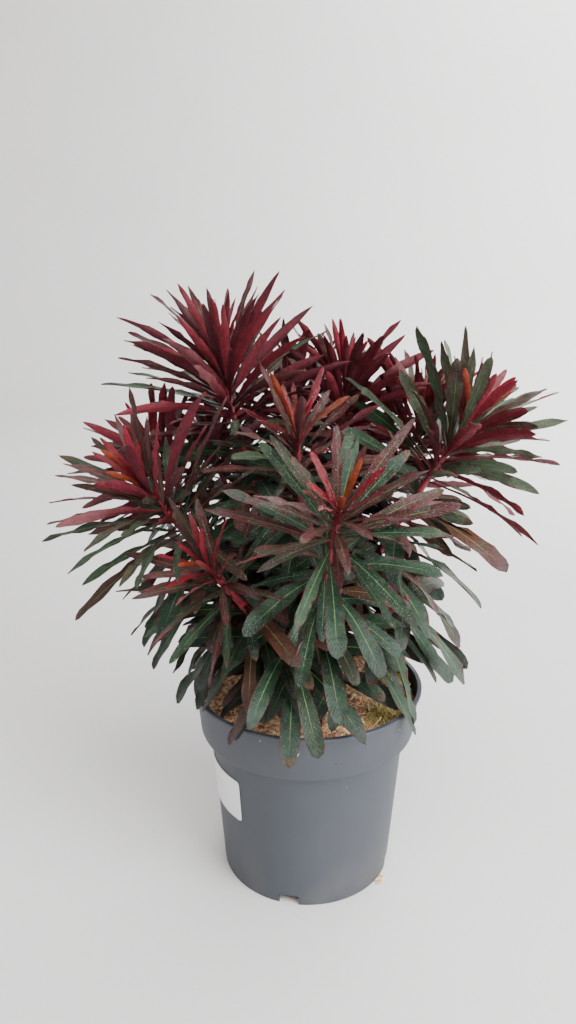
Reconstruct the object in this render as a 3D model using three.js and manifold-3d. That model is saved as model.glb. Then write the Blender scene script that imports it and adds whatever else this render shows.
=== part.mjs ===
// A purple wood spurge in its nursery pot: eighteen leafy shoots that stand in a pot of soil.
// Millimetres, +Z up, the origin at the middle of the pot's underside. The front of the plant faces -Y.
// A shoot is a stem with narrow leaves in a golden-angle spiral. Its red top, the crown, and its green
// lower part, the skirt, are two solids that meet end to end. Every blade is bent clear of the others.
import * as THREE from 'three';
import Module from 'manifold-3d';
import { mergeVertices } from 'three/addons/utils/BufferGeometryUtils.js';

const wasm = await Module();
wasm.setup();

// Driving dimensions of the pot.
const POT_HEIGHT = 167;
const RIM_RADIUS = 95;
const COLLAR_RADIUS = 92.9;
const COLLAR_FOOT = { radius: 89.5, height: 129.6 };
const BODY_TOP = { radius: 80.9, height: 122 };
const BASE_RADIUS = 71.5;
const WALL = 1.6;
const LIP_HEIGHT = 2.8;
const FLOOR_UNDERSIDE = 4.5;
const FLOOR_TOP = 6.5;
const POT_SIDES = 32;

// Four drain notches in the foot, each in the middle of a shallow recess.
const NOTCH_COUNT = 4;
const FIRST_NOTCH_AZIMUTH = -102.6;
const NOTCH = { width: 16, height: 8 };
const RECESS = { footWidth: 40, topWidth: 33, height: 9.5, depth: 0.8 };

// The paper label on the pot's left side.
const LABEL = { azimuth: -162, width: 76, foot: 68, height: 38, corner: 3, thickness: 0.4, clearance: 0.3 };

// The soil fills the pot to just under the rim.
const SOIL_TOP = 154;
const SOIL_GAP = 0.5;
const SOIL_RINGS = 2;
const SOIL_RELIEF = 1.3;
const PLANTING_DEPTH = 20;
const HOLE_GAP = 0.6;

// Stems and leaves.
const STEM_RADIUS = { foot: 3.6, joint: 2.9, heart: 1.7 };
const STEM_SIDES = 5;
const HOLE_SIDES = 5;
const JOINT_GAP = 0.3;
const STRAIGHT_FOOT = 24;
const STEM_PIECES = 7;
const BUD = 5;
const GOLDEN_ANGLE = 137.508;

// Stations along a blade: the share of its length, and the shares of its full width and keel there.
const BLADE = [[0, 0.17, 0.6], [0.42, 0.84, 1], [0.82, 0.92, 1], [1, 0, 0]];
const ROOT_OFFSET = 0.3;
const KEEL = 1.5;
const GUARD = 0.9;

// Leaves turn their red backs part of the way towards the front and the light above it.
const LIGHT = new THREE.Vector3(0, -0.8, 0.6);
const LIGHT_TURN = { share: 0.55, reach: 115 };
const CROWN_LEAF = {
  slender: 0.108, lowAngle: 82, topAngle: 15, rise: 0.9, arch: 14, droop: 0.14, topLength: 0.42, young: 6, zone: 54,
  stemTop: 0.8,
};
const SKIRT_LEAF = {
  slender: 0.172, lowAngle: 84, topAngle: 74, rise: 1, arch: 12, droop: 0.85, topLength: 1, young: 1, zone: 105,
  stemTop: STEM_RADIUS.joint,
};
const BARE_STEM = 34;

// A shoot's heart, its growing tip, is given round the pot's axis: azimuth in degrees from +X, reach and
// height in millimetres. It leans outwards by so many degrees from the vertical.
function shoot(name, azimuth, reach, height, lean, crownLeaves, skirtLeaves, leafLength) {
  return { name, azimuth, reach, height, lean, crownLeaves, skirtLeaves, leafLength };
}

const SHOOTS = [
  shoot('top_left', 163, 70, 432, 8, 25, 14, 102),
  shoot('right', -2, 121, 386, 31, 23, 17, 99),
  shoot('front', -83, 133, 354, 39, 16, 17, 82),
  shoot('left_front', -151, 134, 352, 34, 19, 15, 92),
  shoot('top_middle', 58, 58, 412, 8, 17, 10, 86),
  shoot('centre', -101, 50, 388, 10, 11, 10, 76),
  shoot('left_back', 165, 130, 356, 32, 14, 12, 82),
  shoot('low_left', -124, 126, 306, 40, 9, 13, 78),
  shoot('right_back', 30, 112, 384, 22, 13, 12, 86),
  shoot('top_back', 101, 78, 402, 14, 13, 10, 88),
  shoot('back_left', 135, 122, 350, 32, 12, 10, 88),
  shoot('back', 76, 122, 352, 34, 12, 11, 90),
  shoot('far_back', 106, 132, 296, 46, 9, 9, 86),
  shoot('back_right', 50, 134, 324, 42, 11, 9, 86),
  shoot('low_front', -103, 76, 240, 40, 0, 14, 92),
  shoot('low_right', -38, 92, 264, 45, 0, 14, 92),
  shoot('foot_left', -170, 106, 286, 46, 0, 14, 86),
  shoot('foot_back', 10, 92, 254, 46, 0, 11, 90),
];

const UP = new THREE.Vector3(0, 0, 1);
const EAST = new THREE.Vector3(1, 0, 0);
const radians = THREE.MathUtils.degToRad;
const mix = THREE.MathUtils.lerp;

// A fixed number from -1 to 1 for each pair of whole numbers.
function jitter(seed, index) {
  const value = Math.sin(seed * 12.9898 + index * 78.233) * 43758.5453;
  return 2 * (value - Math.floor(value)) - 1;
}

// A point at an azimuth and a distance round the pot's axis.
function roundAxis(azimuth, reach, height) {
  return new THREE.Vector3(
    reach * Math.cos(radians(azimuth)),
    reach * Math.sin(radians(azimuth)),
    height,
  );
}

// A closed three.js geometry as a solid that can be cut and joined.
function solidOf(geometry) {
  const bare = new THREE.BufferGeometry();
  bare.setAttribute('position', geometry.getAttribute('position'));
  bare.setIndex(geometry.getIndex());
  const merged = mergeVertices(bare, 1e-4);
  return new wasm.Manifold(new wasm.Mesh({
    numProp: 3,
    vertProperties: merged.getAttribute('position').array,
    triVerts: new Uint32Array(merged.getIndex().array),
  }));
}

// A solid as a three.js geometry.
function geometryOf(solid) {
  const mesh = solid.getMesh();
  const geometry = new THREE.BufferGeometry();
  geometry.setAttribute('position', new THREE.BufferAttribute(mesh.vertProperties, 3));
  geometry.setIndex(new THREE.BufferAttribute(mesh.triVerts, 1));
  geometry.computeVertexNormals();
  return geometry;
}

// A profile of [radius, height] pairs turned round the pot's axis.
function turned(profile) {
  const points = profile.map(([radius, height]) => new THREE.Vector2(radius, height));
  return new THREE.LatheGeometry(points, POT_SIDES).rotateX(Math.PI / 2);
}

// The radius of the pot's outside at a height below the shoulder.
function bodyRadius(height) {
  return mix(BASE_RADIUS, BODY_TOP.radius, height / BODY_TOP.height);
}

// An outline in the plane that faces outwards at an azimuth, run outwards between two distances.
function radialPrism(outline, azimuth, from, to) {
  const prism = new THREE.ExtrudeGeometry(outline, { depth: to - from, bevelEnabled: false, curveSegments: 3 });
  prism.translate(0, 0, from);
  prism.rotateX(Math.PI / 2);
  prism.rotateZ(radians(azimuth + 90));
  return solidOf(prism);
}

function trapezium(footWidth, topWidth, foot, top) {
  return new THREE.Shape([
    new THREE.Vector2(-footWidth / 2, foot),
    new THREE.Vector2(footWidth / 2, foot),
    new THREE.Vector2(topWidth / 2, top),
    new THREE.Vector2(-topWidth / 2, top),
  ]);
}

function roundedRectangle(width, height, corner, foot) {
  const half = width / 2;
  const outline = new THREE.Shape();
  outline.moveTo(-half + corner, foot);
  outline.lineTo(half - corner, foot);
  outline.absarc(half - corner, foot + corner, corner, -Math.PI / 2, 0, false);
  outline.absarc(half - corner, foot + height - corner, corner, 0, Math.PI / 2, false);
  outline.absarc(-half + corner, foot + height - corner, corner, Math.PI / 2, Math.PI, false);
  outline.absarc(-half + corner, foot + corner, corner, Math.PI, 1.5 * Math.PI, false);
  return outline;
}

// The thin-walled pot: a tapered body, a shoulder, a wide collar with a lip, and a raised floor.
function makePot() {
  const bodyInside = BODY_TOP.radius - WALL;
  const footInside = bodyRadius(FLOOR_TOP) - WALL;
  const lipFoot = POT_HEIGHT - LIP_HEIGHT;
  const pot = solidOf(turned([
    [0, FLOOR_UNDERSIDE],
    [footInside, FLOOR_UNDERSIDE],
    [BASE_RADIUS - WALL, 0],
    [BASE_RADIUS, 0],
    [BODY_TOP.radius, BODY_TOP.height],
    [COLLAR_FOOT.radius - 1.2, COLLAR_FOOT.height - 1.4],
    [COLLAR_FOOT.radius, COLLAR_FOOT.height + 1.2],
    [COLLAR_RADIUS, lipFoot],
    [RIM_RADIUS, lipFoot + 0.6],
    [RIM_RADIUS, POT_HEIGHT - 0.6],
    [RIM_RADIUS - 0.7, POT_HEIGHT],
    [COLLAR_RADIUS - WALL, POT_HEIGHT],
    [COLLAR_FOOT.radius - WALL, COLLAR_FOOT.height + 1.6],
    [COLLAR_FOOT.radius - WALL - 1.2, COLLAR_FOOT.height - 0.8],
    [bodyInside, BODY_TOP.height + 0.6],
    [footInside, FLOOR_TOP],
    [0, FLOOR_TOP],
  ]));
  const behindRecess = solidOf(turned([
    [0, -1],
    [bodyRadius(-1) - RECESS.depth, -1],
    [bodyRadius(20) - RECESS.depth, 20],
    [0, 20],
  ]));
  const cuts = [];
  for (let i = 0; i < NOTCH_COUNT; i += 1) {
    const azimuth = FIRST_NOTCH_AZIMUTH + i * 360 / NOTCH_COUNT;
    const recess = trapezium(RECESS.footWidth, RECESS.topWidth, -0.5, RECESS.height);
    const notch = trapezium(NOTCH.width, NOTCH.width, -0.5, NOTCH.height);
    cuts.push(radialPrism(recess, azimuth, BASE_RADIUS - 10, BASE_RADIUS + 10).subtract(behindRecess));
    cuts.push(radialPrism(notch, azimuth, BASE_RADIUS - 7, BASE_RADIUS + 10));
  }
  return pot.subtract(wasm.Manifold.union(cuts));
}

// The label is a thin curved sheet that follows the pot's wall.
function makeLabel() {
  const foot = LABEL.foot - 4;
  const top = LABEL.foot + LABEL.height + 4;
  const inside = LABEL.clearance;
  const outside = LABEL.clearance + LABEL.thickness;
  const sleeve = solidOf(turned([
    [bodyRadius(foot) + inside, foot],
    [bodyRadius(foot) + outside, foot],
    [bodyRadius(top) + outside, top],
    [bodyRadius(top) + inside, top],
    [bodyRadius(foot) + inside, foot],
  ]));
  const outline = roundedRectangle(LABEL.width, LABEL.height, LABEL.corner, LABEL.foot);
  return sleeve.intersect(radialPrism(outline, LABEL.azimuth, 20, RIM_RADIUS));
}

// The soil's surface lies in low mounds, a little higher towards the middle.
function soilHeight(x, y) {
  const swell = Math.sin(x * 0.11 + 0.8) * Math.cos(y * 0.13 - 0.4);
  return SOIL_TOP + SOIL_RELIEF * (swell + 1.2 * Math.exp(-(x * x + y * y) / 1800));
}

function makeSoil(stems) {
  const floor = FLOOR_TOP + JOINT_GAP;
  const footRadius = bodyRadius(FLOOR_TOP) - WALL - SOIL_GAP;
  const shoulder = COLLAR_FOOT.radius - WALL - SOIL_GAP;
  const collarSlope = (COLLAR_RADIUS - COLLAR_FOOT.radius) / (POT_HEIGHT - COLLAR_FOOT.height);
  const edge = shoulder + collarSlope * (SOIL_TOP - COLLAR_FOOT.height) - 0.6;
  const profile = [
    [0, floor],
    [footRadius, floor],
    [BODY_TOP.radius - WALL - SOIL_GAP, BODY_TOP.height + 0.6],
    [shoulder - 1.2, COLLAR_FOOT.height],
    [shoulder, COLLAR_FOOT.height + 3],
  ];
  for (let ring = SOIL_RINGS; ring >= 0; ring -= 1) profile.push([edge * ring / SOIL_RINGS, SOIL_TOP]);
  const geometry = turned(profile);
  const position = geometry.getAttribute('position');
  for (let i = 0; i < position.count; i += 1) {
    if (position.getZ(i) > SOIL_TOP - 1) position.setZ(i, soilHeight(position.getX(i), position.getY(i)));
  }
  const holes = stems.map((stem) => {
    const foot = stem.getPoint(0);
    const radius = (STEM_RADIUS.foot + HOLE_GAP) / Math.cos(Math.PI / HOLE_SIDES);
    const depth = 2 * PLANTING_DEPTH;
    const hole = new THREE.CylinderGeometry(radius, radius, depth, HOLE_SIDES).rotateX(Math.PI / 2);
    return solidOf(hole.translate(foot.x, foot.y, foot.z - JOINT_GAP + depth / 2));
  });
  return solidOf(geometry).subtract(wasm.Manifold.union(holes));
}

// A stem stands straight up in the soil, then leans outwards to its heart in short straight pieces.
function stemCurve({ azimuth, reach, height, lean }) {
  const footReach = 8 + 0.13 * reach + 0.07 * (400 - height);
  const foot = roundAxis(azimuth, footReach, SOIL_TOP - PLANTING_DEPTH);
  const collar = foot.clone().addScaledVector(UP, STRAIGHT_FOOT);
  const heart = roundAxis(azimuth, reach, height);
  const rise = height - collar.z;
  const axis = roundAxis(azimuth, Math.sin(radians(lean)), Math.cos(radians(lean)));
  const sweep = new THREE.CubicBezierCurve3(
    collar,
    collar.clone().addScaledVector(UP, 0.42 * rise),
    heart.clone().addScaledVector(axis, -0.36 * rise),
    heart,
  );
  const points = [foot, ...sweep.getSpacedPoints(STEM_PIECES)];
  const stem = new THREE.CurvePath();
  points.slice(1).forEach((point, i) => stem.add(new THREE.LineCurve3(points[i], point)));
  return stem;
}

// The two triangles of a quad, split along the diagonal that bulges outwards.
function quad(points, a, b, c, d) {
  const plane = new THREE.Plane().setFromCoplanarPoints(points[a], points[c], points[b]);
  return plane.distanceToPoint(points[d]) < 0 ? [a, c, b, b, c, d] : [a, c, d, a, d, b];
}

// A closed solid through rings of corners that all have the same number. The last ring may be one point.
function loft(rings) {
  const sides = rings[0].length;
  const points = rings.flat();
  const faces = [];
  for (let i = 1; i < sides - 1; i += 1) faces.push(0, i, i + 1);
  rings.slice(1).forEach((ring, before) => {
    for (let i = 0; i < sides; i += 1) {
      const [a, b] = [sides * before + i, sides * before + (i + 1) % sides];
      if (ring.length === 1) faces.push(a, sides * (before + 1), b);
      else faces.push(...quad(points, a, b, a + sides, b + sides));
    }
  });
  const last = sides * (rings.length - 1);
  if (rings[rings.length - 1].length > 1) {
    for (let i = 1; i < sides - 1; i += 1) faces.push(last, last + i + 1, last + i);
  }
  const geometry = new THREE.BufferGeometry().setFromPoints(points);
  geometry.setIndex(faces);
  return solidOf(geometry);
}

// A ring of corners round a stem at a distance from its foot.
function stemRing(stem, distance, radius) {
  const share = distance / stem.getLength();
  const axis = stem.getTangentAt(share);
  const across = new THREE.Vector3().crossVectors(axis, EAST).normalize().multiplyScalar(-radius);
  const centre = stem.getPointAt(share);
  return Array.from({ length: STEM_SIDES }, (_, i) => (
    across.clone().applyAxisAngle(axis, -2 * Math.PI * i / STEM_SIDES).add(centre)
  ));
}

// The bends of a stem between two distances from its foot, well clear of both.
function bendsBetween(stem, from, to) {
  return stem.getCurveLengths().filter((distance) => distance > from + 3 && distance < to - 3);
}

// The stem below the joint, straight in its hole and then curved.
function lowerStem(stem, joint) {
  const distances = [0, ...bendsBetween(stem, 0, joint), joint];
  return loft(distances.map((distance) => (
    stemRing(stem, distance, mix(STEM_RADIUS.foot, STEM_RADIUS.joint, distance / joint))
  )));
}

// The stem above the joint, which ends in a bud.
function upperStem(stem, joint) {
  const total = stem.getLength();
  const distances = [joint, ...bendsBetween(stem, joint, total - BUD), total - BUD];
  const rings = distances.map((distance) => (
    stemRing(stem, distance, mix(STEM_RADIUS.joint, STEM_RADIUS.heart, (distance - joint) / (total - joint)))
  ));
  return loft([...rings, [stem.getPointAt(1)]]);
}

// How far a blade turns about its heading to bring its back to the light, in degrees. A blade whose upper
// face is in the light doesn't turn.
function lightTurn(heading, back) {
  const lit = LIGHT.clone().addScaledVector(heading, -LIGHT.dot(heading)).normalize();
  const across = new THREE.Vector3().crossVectors(back, lit).dot(heading);
  const turn = Math.atan2(across, back.dot(lit)) * 180 / Math.PI;
  return Math.abs(turn) < LIGHT_TURN.reach ? LIGHT_TURN.share * turn : 0;
}

// Where a blade's spine runs and how it is turned, at each station from its root to its tip.
function bladeStations(stem, leaf) {
  const total = stem.getLength();
  const axis = stem.getTangentAt(leaf.place / total);
  const across = new THREE.Vector3().crossVectors(axis, EAST).normalize();
  const outward = across.applyAxisAngle(axis, radians(leaf.azimuth));
  const side = new THREE.Vector3().crossVectors(axis, outward).normalize();
  const start = axis.clone().applyAxisAngle(side, radians(leaf.angle));
  const spine = stem.getPointAt(leaf.place / total).addScaledVector(outward, ROOT_OFFSET * leaf.stemRadius);
  const turn = leaf.twist + lightTurn(start, new THREE.Vector3().crossVectors(side, start));
  return BLADE.map(([share, fullness, depth], i) => {
    const before = i === 0 ? 0 : BLADE[i - 1][0];
    const middle = (share + before) / 2;
    const heading = start.clone().applyAxisAngle(side, radians(leaf.arch * middle));
    heading.addScaledVector(UP, -leaf.droop * middle ** 1.5).normalize();
    spine.addScaledVector(heading, leaf.length * (share - before));
    const width = side.clone().addScaledVector(heading, -side.dot(heading)).normalize();
    const face = new THREE.Vector3().crossVectors(heading, width);
    const twist = turn * Math.min(1, 1.6 * share);
    return {
      point: spine.clone(),
      heading,
      width: width.applyAxisAngle(heading, radians(twist)),
      face: face.applyAxisAngle(heading, radians(twist)),
      halfWidth: leaf.width / 2 * fullness,
      keel: KEEL * depth,
    };
  });
}

// A blade with a flat upper face and a keel under its midrib. The margin makes it fatter all round.
function bladeSolid(stations, margin) {
  const tip = stations.length - 1;
  return loft(stations.map(({ point, heading, width, face, halfWidth, keel }, i) => {
    if (i === tip && margin === 0) return [point];
    const centre = point.clone().addScaledVector(heading, i === tip ? margin : 0);
    const lifted = centre.clone().addScaledVector(face, margin);
    return [
      lifted.clone().addScaledVector(width, halfWidth + margin),
      centre.clone().addScaledVector(face, -keel - margin),
      lifted.clone().addScaledVector(width, -halfWidth - margin),
    ];
  }));
}

// How a leaf may be bent to clear its neighbours, the smallest changes first.
const BENDS = [];
for (const scale of [1, 0.88, 0.74, 0.62]) {
  for (const turn of [0, 6, -6, 12, -12, 19, -19, 27, -27, 36, -36]) {
    for (const lift of [0, -7, 7, -14, 14, 22]) {
      BENDS.push({ scale, turn, lift, cost: Math.abs(turn) + 1.3 * Math.abs(lift) + 160 * (1 - scale) });
    }
  }
}
BENDS.sort((a, b) => a.cost - b.cost);

function boxesMeet(a, b) {
  return [0, 1, 2].every((i) => a.min[i] < b.max[i] && b.min[i] < a.max[i]);
}

function touches(solid, others) {
  const box = solid.boundingBox();
  return others.some((other) => boxesMeet(box, other.box) && !solid.intersect(other.solid).isEmpty());
}

function obstacle(node, solid) {
  return { node, solid, box: solid.boundingBox() };
}

// The leaves of one node in order from the lowest, before any is bent clear.
function leafRow(form, { seed, count, top, leafLength }) {
  const leaves = [];
  for (let i = 0; i < count; i += 1) {
    const rank = count > 1 ? i / (count - 1) : 1;
    const length = leafLength * mix(1, form.topLength, rank ** form.young) * (1 + 0.09 * jitter(seed, i));
    leaves.push({
      place: top - form.zone * (1 - rank),
      azimuth: seed * 47 + GOLDEN_ANGLE * i + 6 * jitter(seed + 31, i),
      angle: mix(form.lowAngle, form.topAngle, rank ** form.rise) + 5 * jitter(seed + 57, i),
      arch: form.arch * (1 + 0.5 * jitter(seed + 11, i)),
      droop: form.droop * mix(1.25, 0.55, rank) * (1 + 0.35 * jitter(seed + 5, i)),
      twist: 26 * jitter(seed + 83, i),
      stemRadius: mix(STEM_RADIUS.joint, form.stemTop, rank),
      length,
      width: length * form.slender * (1 + 0.12 * jitter(seed + 71, i)),
    });
  }
  return leaves;
}

// The first bend of a leaf that clears the other nodes all along, and its own node past its root.
function fitLeaf(stem, leaf, node, placed) {
  const strangers = placed.filter((other) => other.node !== node);
  const siblings = placed.filter((other) => other.node === node && other.outer).map((other) => other.outer);
  for (const bend of BENDS) {
    const bent = {
      ...leaf,
      azimuth: leaf.azimuth + bend.turn,
      angle: leaf.angle + bend.lift,
      length: leaf.length * bend.scale,
      width: leaf.width * (0.5 + 0.5 * bend.scale),
    };
    const stations = bladeStations(stem, bent);
    if (touches(bladeSolid(stations, GUARD), strangers) || touches(bladeSolid(stations, 0), strangers)) continue;
    if (touches(bladeSolid(stations.slice(1), GUARD), siblings)) continue;
    return stations;
  }
  return null;
}

const plant = SHOOTS.map((each, seed) => {
  const stem = stemCurve(each);
  const total = stem.getLength();
  const crownZone = CROWN_LEAF.zone * each.leafLength / 100;
  const joint = each.crownLeaves > 0 ? total - crownZone - 7 : total;
  const skirtTop = each.crownLeaves > 0 ? joint - 7 : joint - 4;
  const skirtZone = Math.min(SKIRT_LEAF.zone, skirtTop - PLANTING_DEPTH - BARE_STEM);
  const parts = [{
    name: `${each.name}_leafy_stem`,
    colour: 'green',
    body: lowerStem(stem, joint),
    leaves: leafRow({ ...SKIRT_LEAF, zone: skirtZone }, {
      seed: seed + 1, count: each.skirtLeaves, top: skirtTop, leafLength: each.leafLength * 0.94,
    }),
  }];
  if (each.crownLeaves > 0) {
    parts.push({
      name: `${each.name}_crown`,
      colour: 'red',
      body: upperStem(stem, joint + JOINT_GAP),
      leaves: leafRow({ ...CROWN_LEAF, zone: crownZone }, {
        seed: seed + 101, count: each.crownLeaves, top: total - 3, leafLength: each.leafLength,
      }),
    });
  }
  return { stem, parts };
});

const pot = makePot();
const label = makeLabel();
const soil = makeSoil(plant.map(({ stem }) => stem));

// Crowns are placed first, and then the skirts beneath them. A leaf that no bend clears is left out.
const placed = [obstacle('pot', pot), obstacle('soil', soil), obstacle('label', label)];
plant.forEach(({ parts }) => parts.forEach((part) => placed.push(obstacle(part.name, part.body))));
for (const colour of ['red', 'green']) {
  for (const { stem, parts } of plant) {
    for (const part of parts.filter((each) => each.colour === colour)) {
      part.blades = [];
      for (const leaf of part.leaves) {
        const stations = fitLeaf(stem, leaf, part.name, placed);
        if (!stations) continue;
        const blade = bladeSolid(stations, 0);
        part.blades.push(blade);
        placed.push({ ...obstacle(part.name, blade), outer: obstacle(part.name, bladeSolid(stations.slice(1), 0)) });
      }
    }
  }
}

const MATERIALS = {
  pot: new THREE.MeshStandardMaterial({ color: 0x6b7075, roughness: 0.55, metalness: 0 }),
  label: new THREE.MeshStandardMaterial({ color: 0xe9eaec, roughness: 0.5, metalness: 0 }),
  soil: new THREE.MeshStandardMaterial({ color: 0x7a5638, roughness: 0.95, metalness: 0 }),
  red: new THREE.MeshStandardMaterial({ color: 0x6b1f26, roughness: 0.5, metalness: 0 }),
  green: new THREE.MeshStandardMaterial({ color: 0x2f4a35, roughness: 0.5, metalness: 0 }),
};

function addMesh(group, name, solid, material) {
  const mesh = new THREE.Mesh(geometryOf(solid), material);
  mesh.name = name;
  group.add(mesh);
}

const pottedPlant = new THREE.Group();
addMesh(pottedPlant, 'pot', pot, MATERIALS.pot);
addMesh(pottedPlant, 'pot_label', label, MATERIALS.label);
addMesh(pottedPlant, 'soil', soil, MATERIALS.soil);
for (const { parts } of plant) {
  for (const { name, colour, body, blades } of parts) {
    addMesh(pottedPlant, name, wasm.Manifold.union([body, ...blades]), MATERIALS[colour]);
  }
}

export default pottedPlant;
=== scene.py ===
"""Potted euphorbia: the looks of the plant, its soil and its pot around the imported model.

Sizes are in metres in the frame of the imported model: +Z up, the pot's foot on the floor and its
axis through the origin.
"""
from __future__ import annotations

import logging
import math
import random
from dataclasses import dataclass, field
from enum import Enum
from typing import Any, Callable, Iterable, Sequence

import bmesh
import bpy
from mathutils import Matrix, Vector, noise
from mathutils.kdtree import KDTree

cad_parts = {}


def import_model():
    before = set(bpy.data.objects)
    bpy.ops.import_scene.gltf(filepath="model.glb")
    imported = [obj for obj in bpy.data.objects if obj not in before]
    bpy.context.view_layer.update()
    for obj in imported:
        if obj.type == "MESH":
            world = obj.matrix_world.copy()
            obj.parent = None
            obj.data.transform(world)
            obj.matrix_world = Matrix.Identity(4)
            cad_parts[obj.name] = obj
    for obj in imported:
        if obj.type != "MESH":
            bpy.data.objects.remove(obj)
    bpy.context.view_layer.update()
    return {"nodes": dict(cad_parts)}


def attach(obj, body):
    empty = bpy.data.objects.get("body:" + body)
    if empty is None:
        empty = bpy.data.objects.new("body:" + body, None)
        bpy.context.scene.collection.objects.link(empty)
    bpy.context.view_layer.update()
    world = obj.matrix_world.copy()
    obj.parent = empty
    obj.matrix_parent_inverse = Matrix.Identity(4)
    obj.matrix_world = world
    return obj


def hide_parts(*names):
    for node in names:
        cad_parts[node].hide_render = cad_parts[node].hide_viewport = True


LOG = logging.getLogger("euphorbia")
BODY = "root"
UP = Vector((0, 0, 1))
GOLDEN_ANGLE = math.radians(137.508)
VECTOR = "FLOAT_VECTOR"


class Slot(Enum):
    """The material slots."""

    POT = "pot"
    LABEL = "label"
    SOIL = "soil"
    LEAF_RED = "leaf_red"
    LEAF_GREEN = "leaf_green"


class Field(Enum):
    """Names of the values that a mesh carries from Geometry Nodes to its material."""

    ALONG = "along"
    ACROSS = "across"
    SIDE = "side"
    YOUTH = "youth"
    FLUSH = "flush"
    DEW = "dew"
    SEED = "seed"
    FACE = "face"
    TRAITS = "traits"
    TINTS = "tints"
    RADIUS = "thickness"
    INDEX = "index_number"


# Node trees


def _operator(operation: str, is_reflected: bool = False) -> Callable[[Sock, Any], Sock]:
    """A method of Sock for an operation on two values.

    Args:
        operation: the node's operation.
        is_reflected: whether the other value comes first.

    Returns:
        The method.
    """
    def method(self: Sock, other: Any) -> Sock:
        """The operation on this socket and another value."""
        return self.combine(operation, *((other, self) if is_reflected else (self, other)))
    return method


def _function(operation: str) -> Callable[[Sock], Sock]:
    """A method of Sock for an operation on one number.

    Args:
        operation: the node's operation.

    Returns:
        The method.
    """
    def method(self: Sock) -> Sock:
        """The operation on this socket."""
        return self.graph.math(operation, self)
    return method


@dataclass(eq=False)
class Sock:
    """An output socket of a node tree with the operators of its maths."""

    graph: Graph
    link: bpy.types.NodeSocket

    @property
    def is_vector(self) -> bool:
        """Whether the socket carries a vector."""
        return self.link.type == "VECTOR"

    def combine(self, operation: str, first: Any, second: Any) -> Sock:
        """Adds the Math or Vector Math node of a two-sided operation.

        Args:
            operation: the node's operation.
            first: the left value or socket.
            second: the right value or socket.

        Returns:
            The result's socket.
        """
        vectors = [isinstance(v, (Vector, tuple)) or (isinstance(v, Sock) and v.is_vector)
                   for v in (first, second)]
        if not any(vectors):
            return self.graph.math(operation, first, second)
        if operation == "MULTIPLY" and not all(vectors):
            vector, factor = (first, second) if vectors[0] else (second, first)
            return self.graph.node("ShaderNodeVectorMath", {"operation": "SCALE"},
                                   {0: vector, "Scale": factor})
        return self.graph.vector_math(operation, first, second)

    __add__, __radd__ = _operator("ADD"), _operator("ADD", True)
    __sub__, __rsub__ = _operator("SUBTRACT"), _operator("SUBTRACT", True)
    __mul__, __rmul__ = _operator("MULTIPLY"), _operator("MULTIPLY", True)
    __truediv__, __rtruediv__ = _operator("DIVIDE"), _operator("DIVIDE", True)
    __gt__, __lt__ = _operator("GREATER_THAN"), _operator("LESS_THAN")
    __pow__ = _operator("POWER")
    abs, sqrt = _function("ABSOLUTE"), _function("SQRT")
    sin, cos = _function("SINE"), _function("COSINE")

    def clamp(self, low: float = 0.0, high: float = 1.0) -> Sock:
        """The value kept between two limits."""
        return self.graph.node("ShaderNodeClamp", {}, {"Value": self, "Min": low, "Max": high})

    def ramp(self, low: float, high: float) -> Sock:
        """A smooth step from 0 at low to 1 at high."""
        return self.graph.node("ShaderNodeMapRange", {"interpolation_type": "SMOOTHSTEP"},
                               {"Value": self, "From Min": low, "From Max": high})

    def part(self, axis: str) -> Sock:
        """One coordinate of a vector."""
        return self.graph.node("ShaderNodeSeparateXYZ", {}, {"Vector": self}, axis)

    def parts(self) -> tuple[Sock, ...]:
        """The three coordinates of a vector."""
        return tuple(self.part(axis) for axis in "XYZ")

    def beside(self, name: str) -> Sock:
        """Another output of the same node."""
        return Sock(self.graph, self.link.node.outputs[name])

    def red(self) -> Sock:
        """The red channel of a colour, as a number."""
        return self.graph.node("ShaderNodeSeparateColor", {}, {"Color": self}, "Red")


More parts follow.
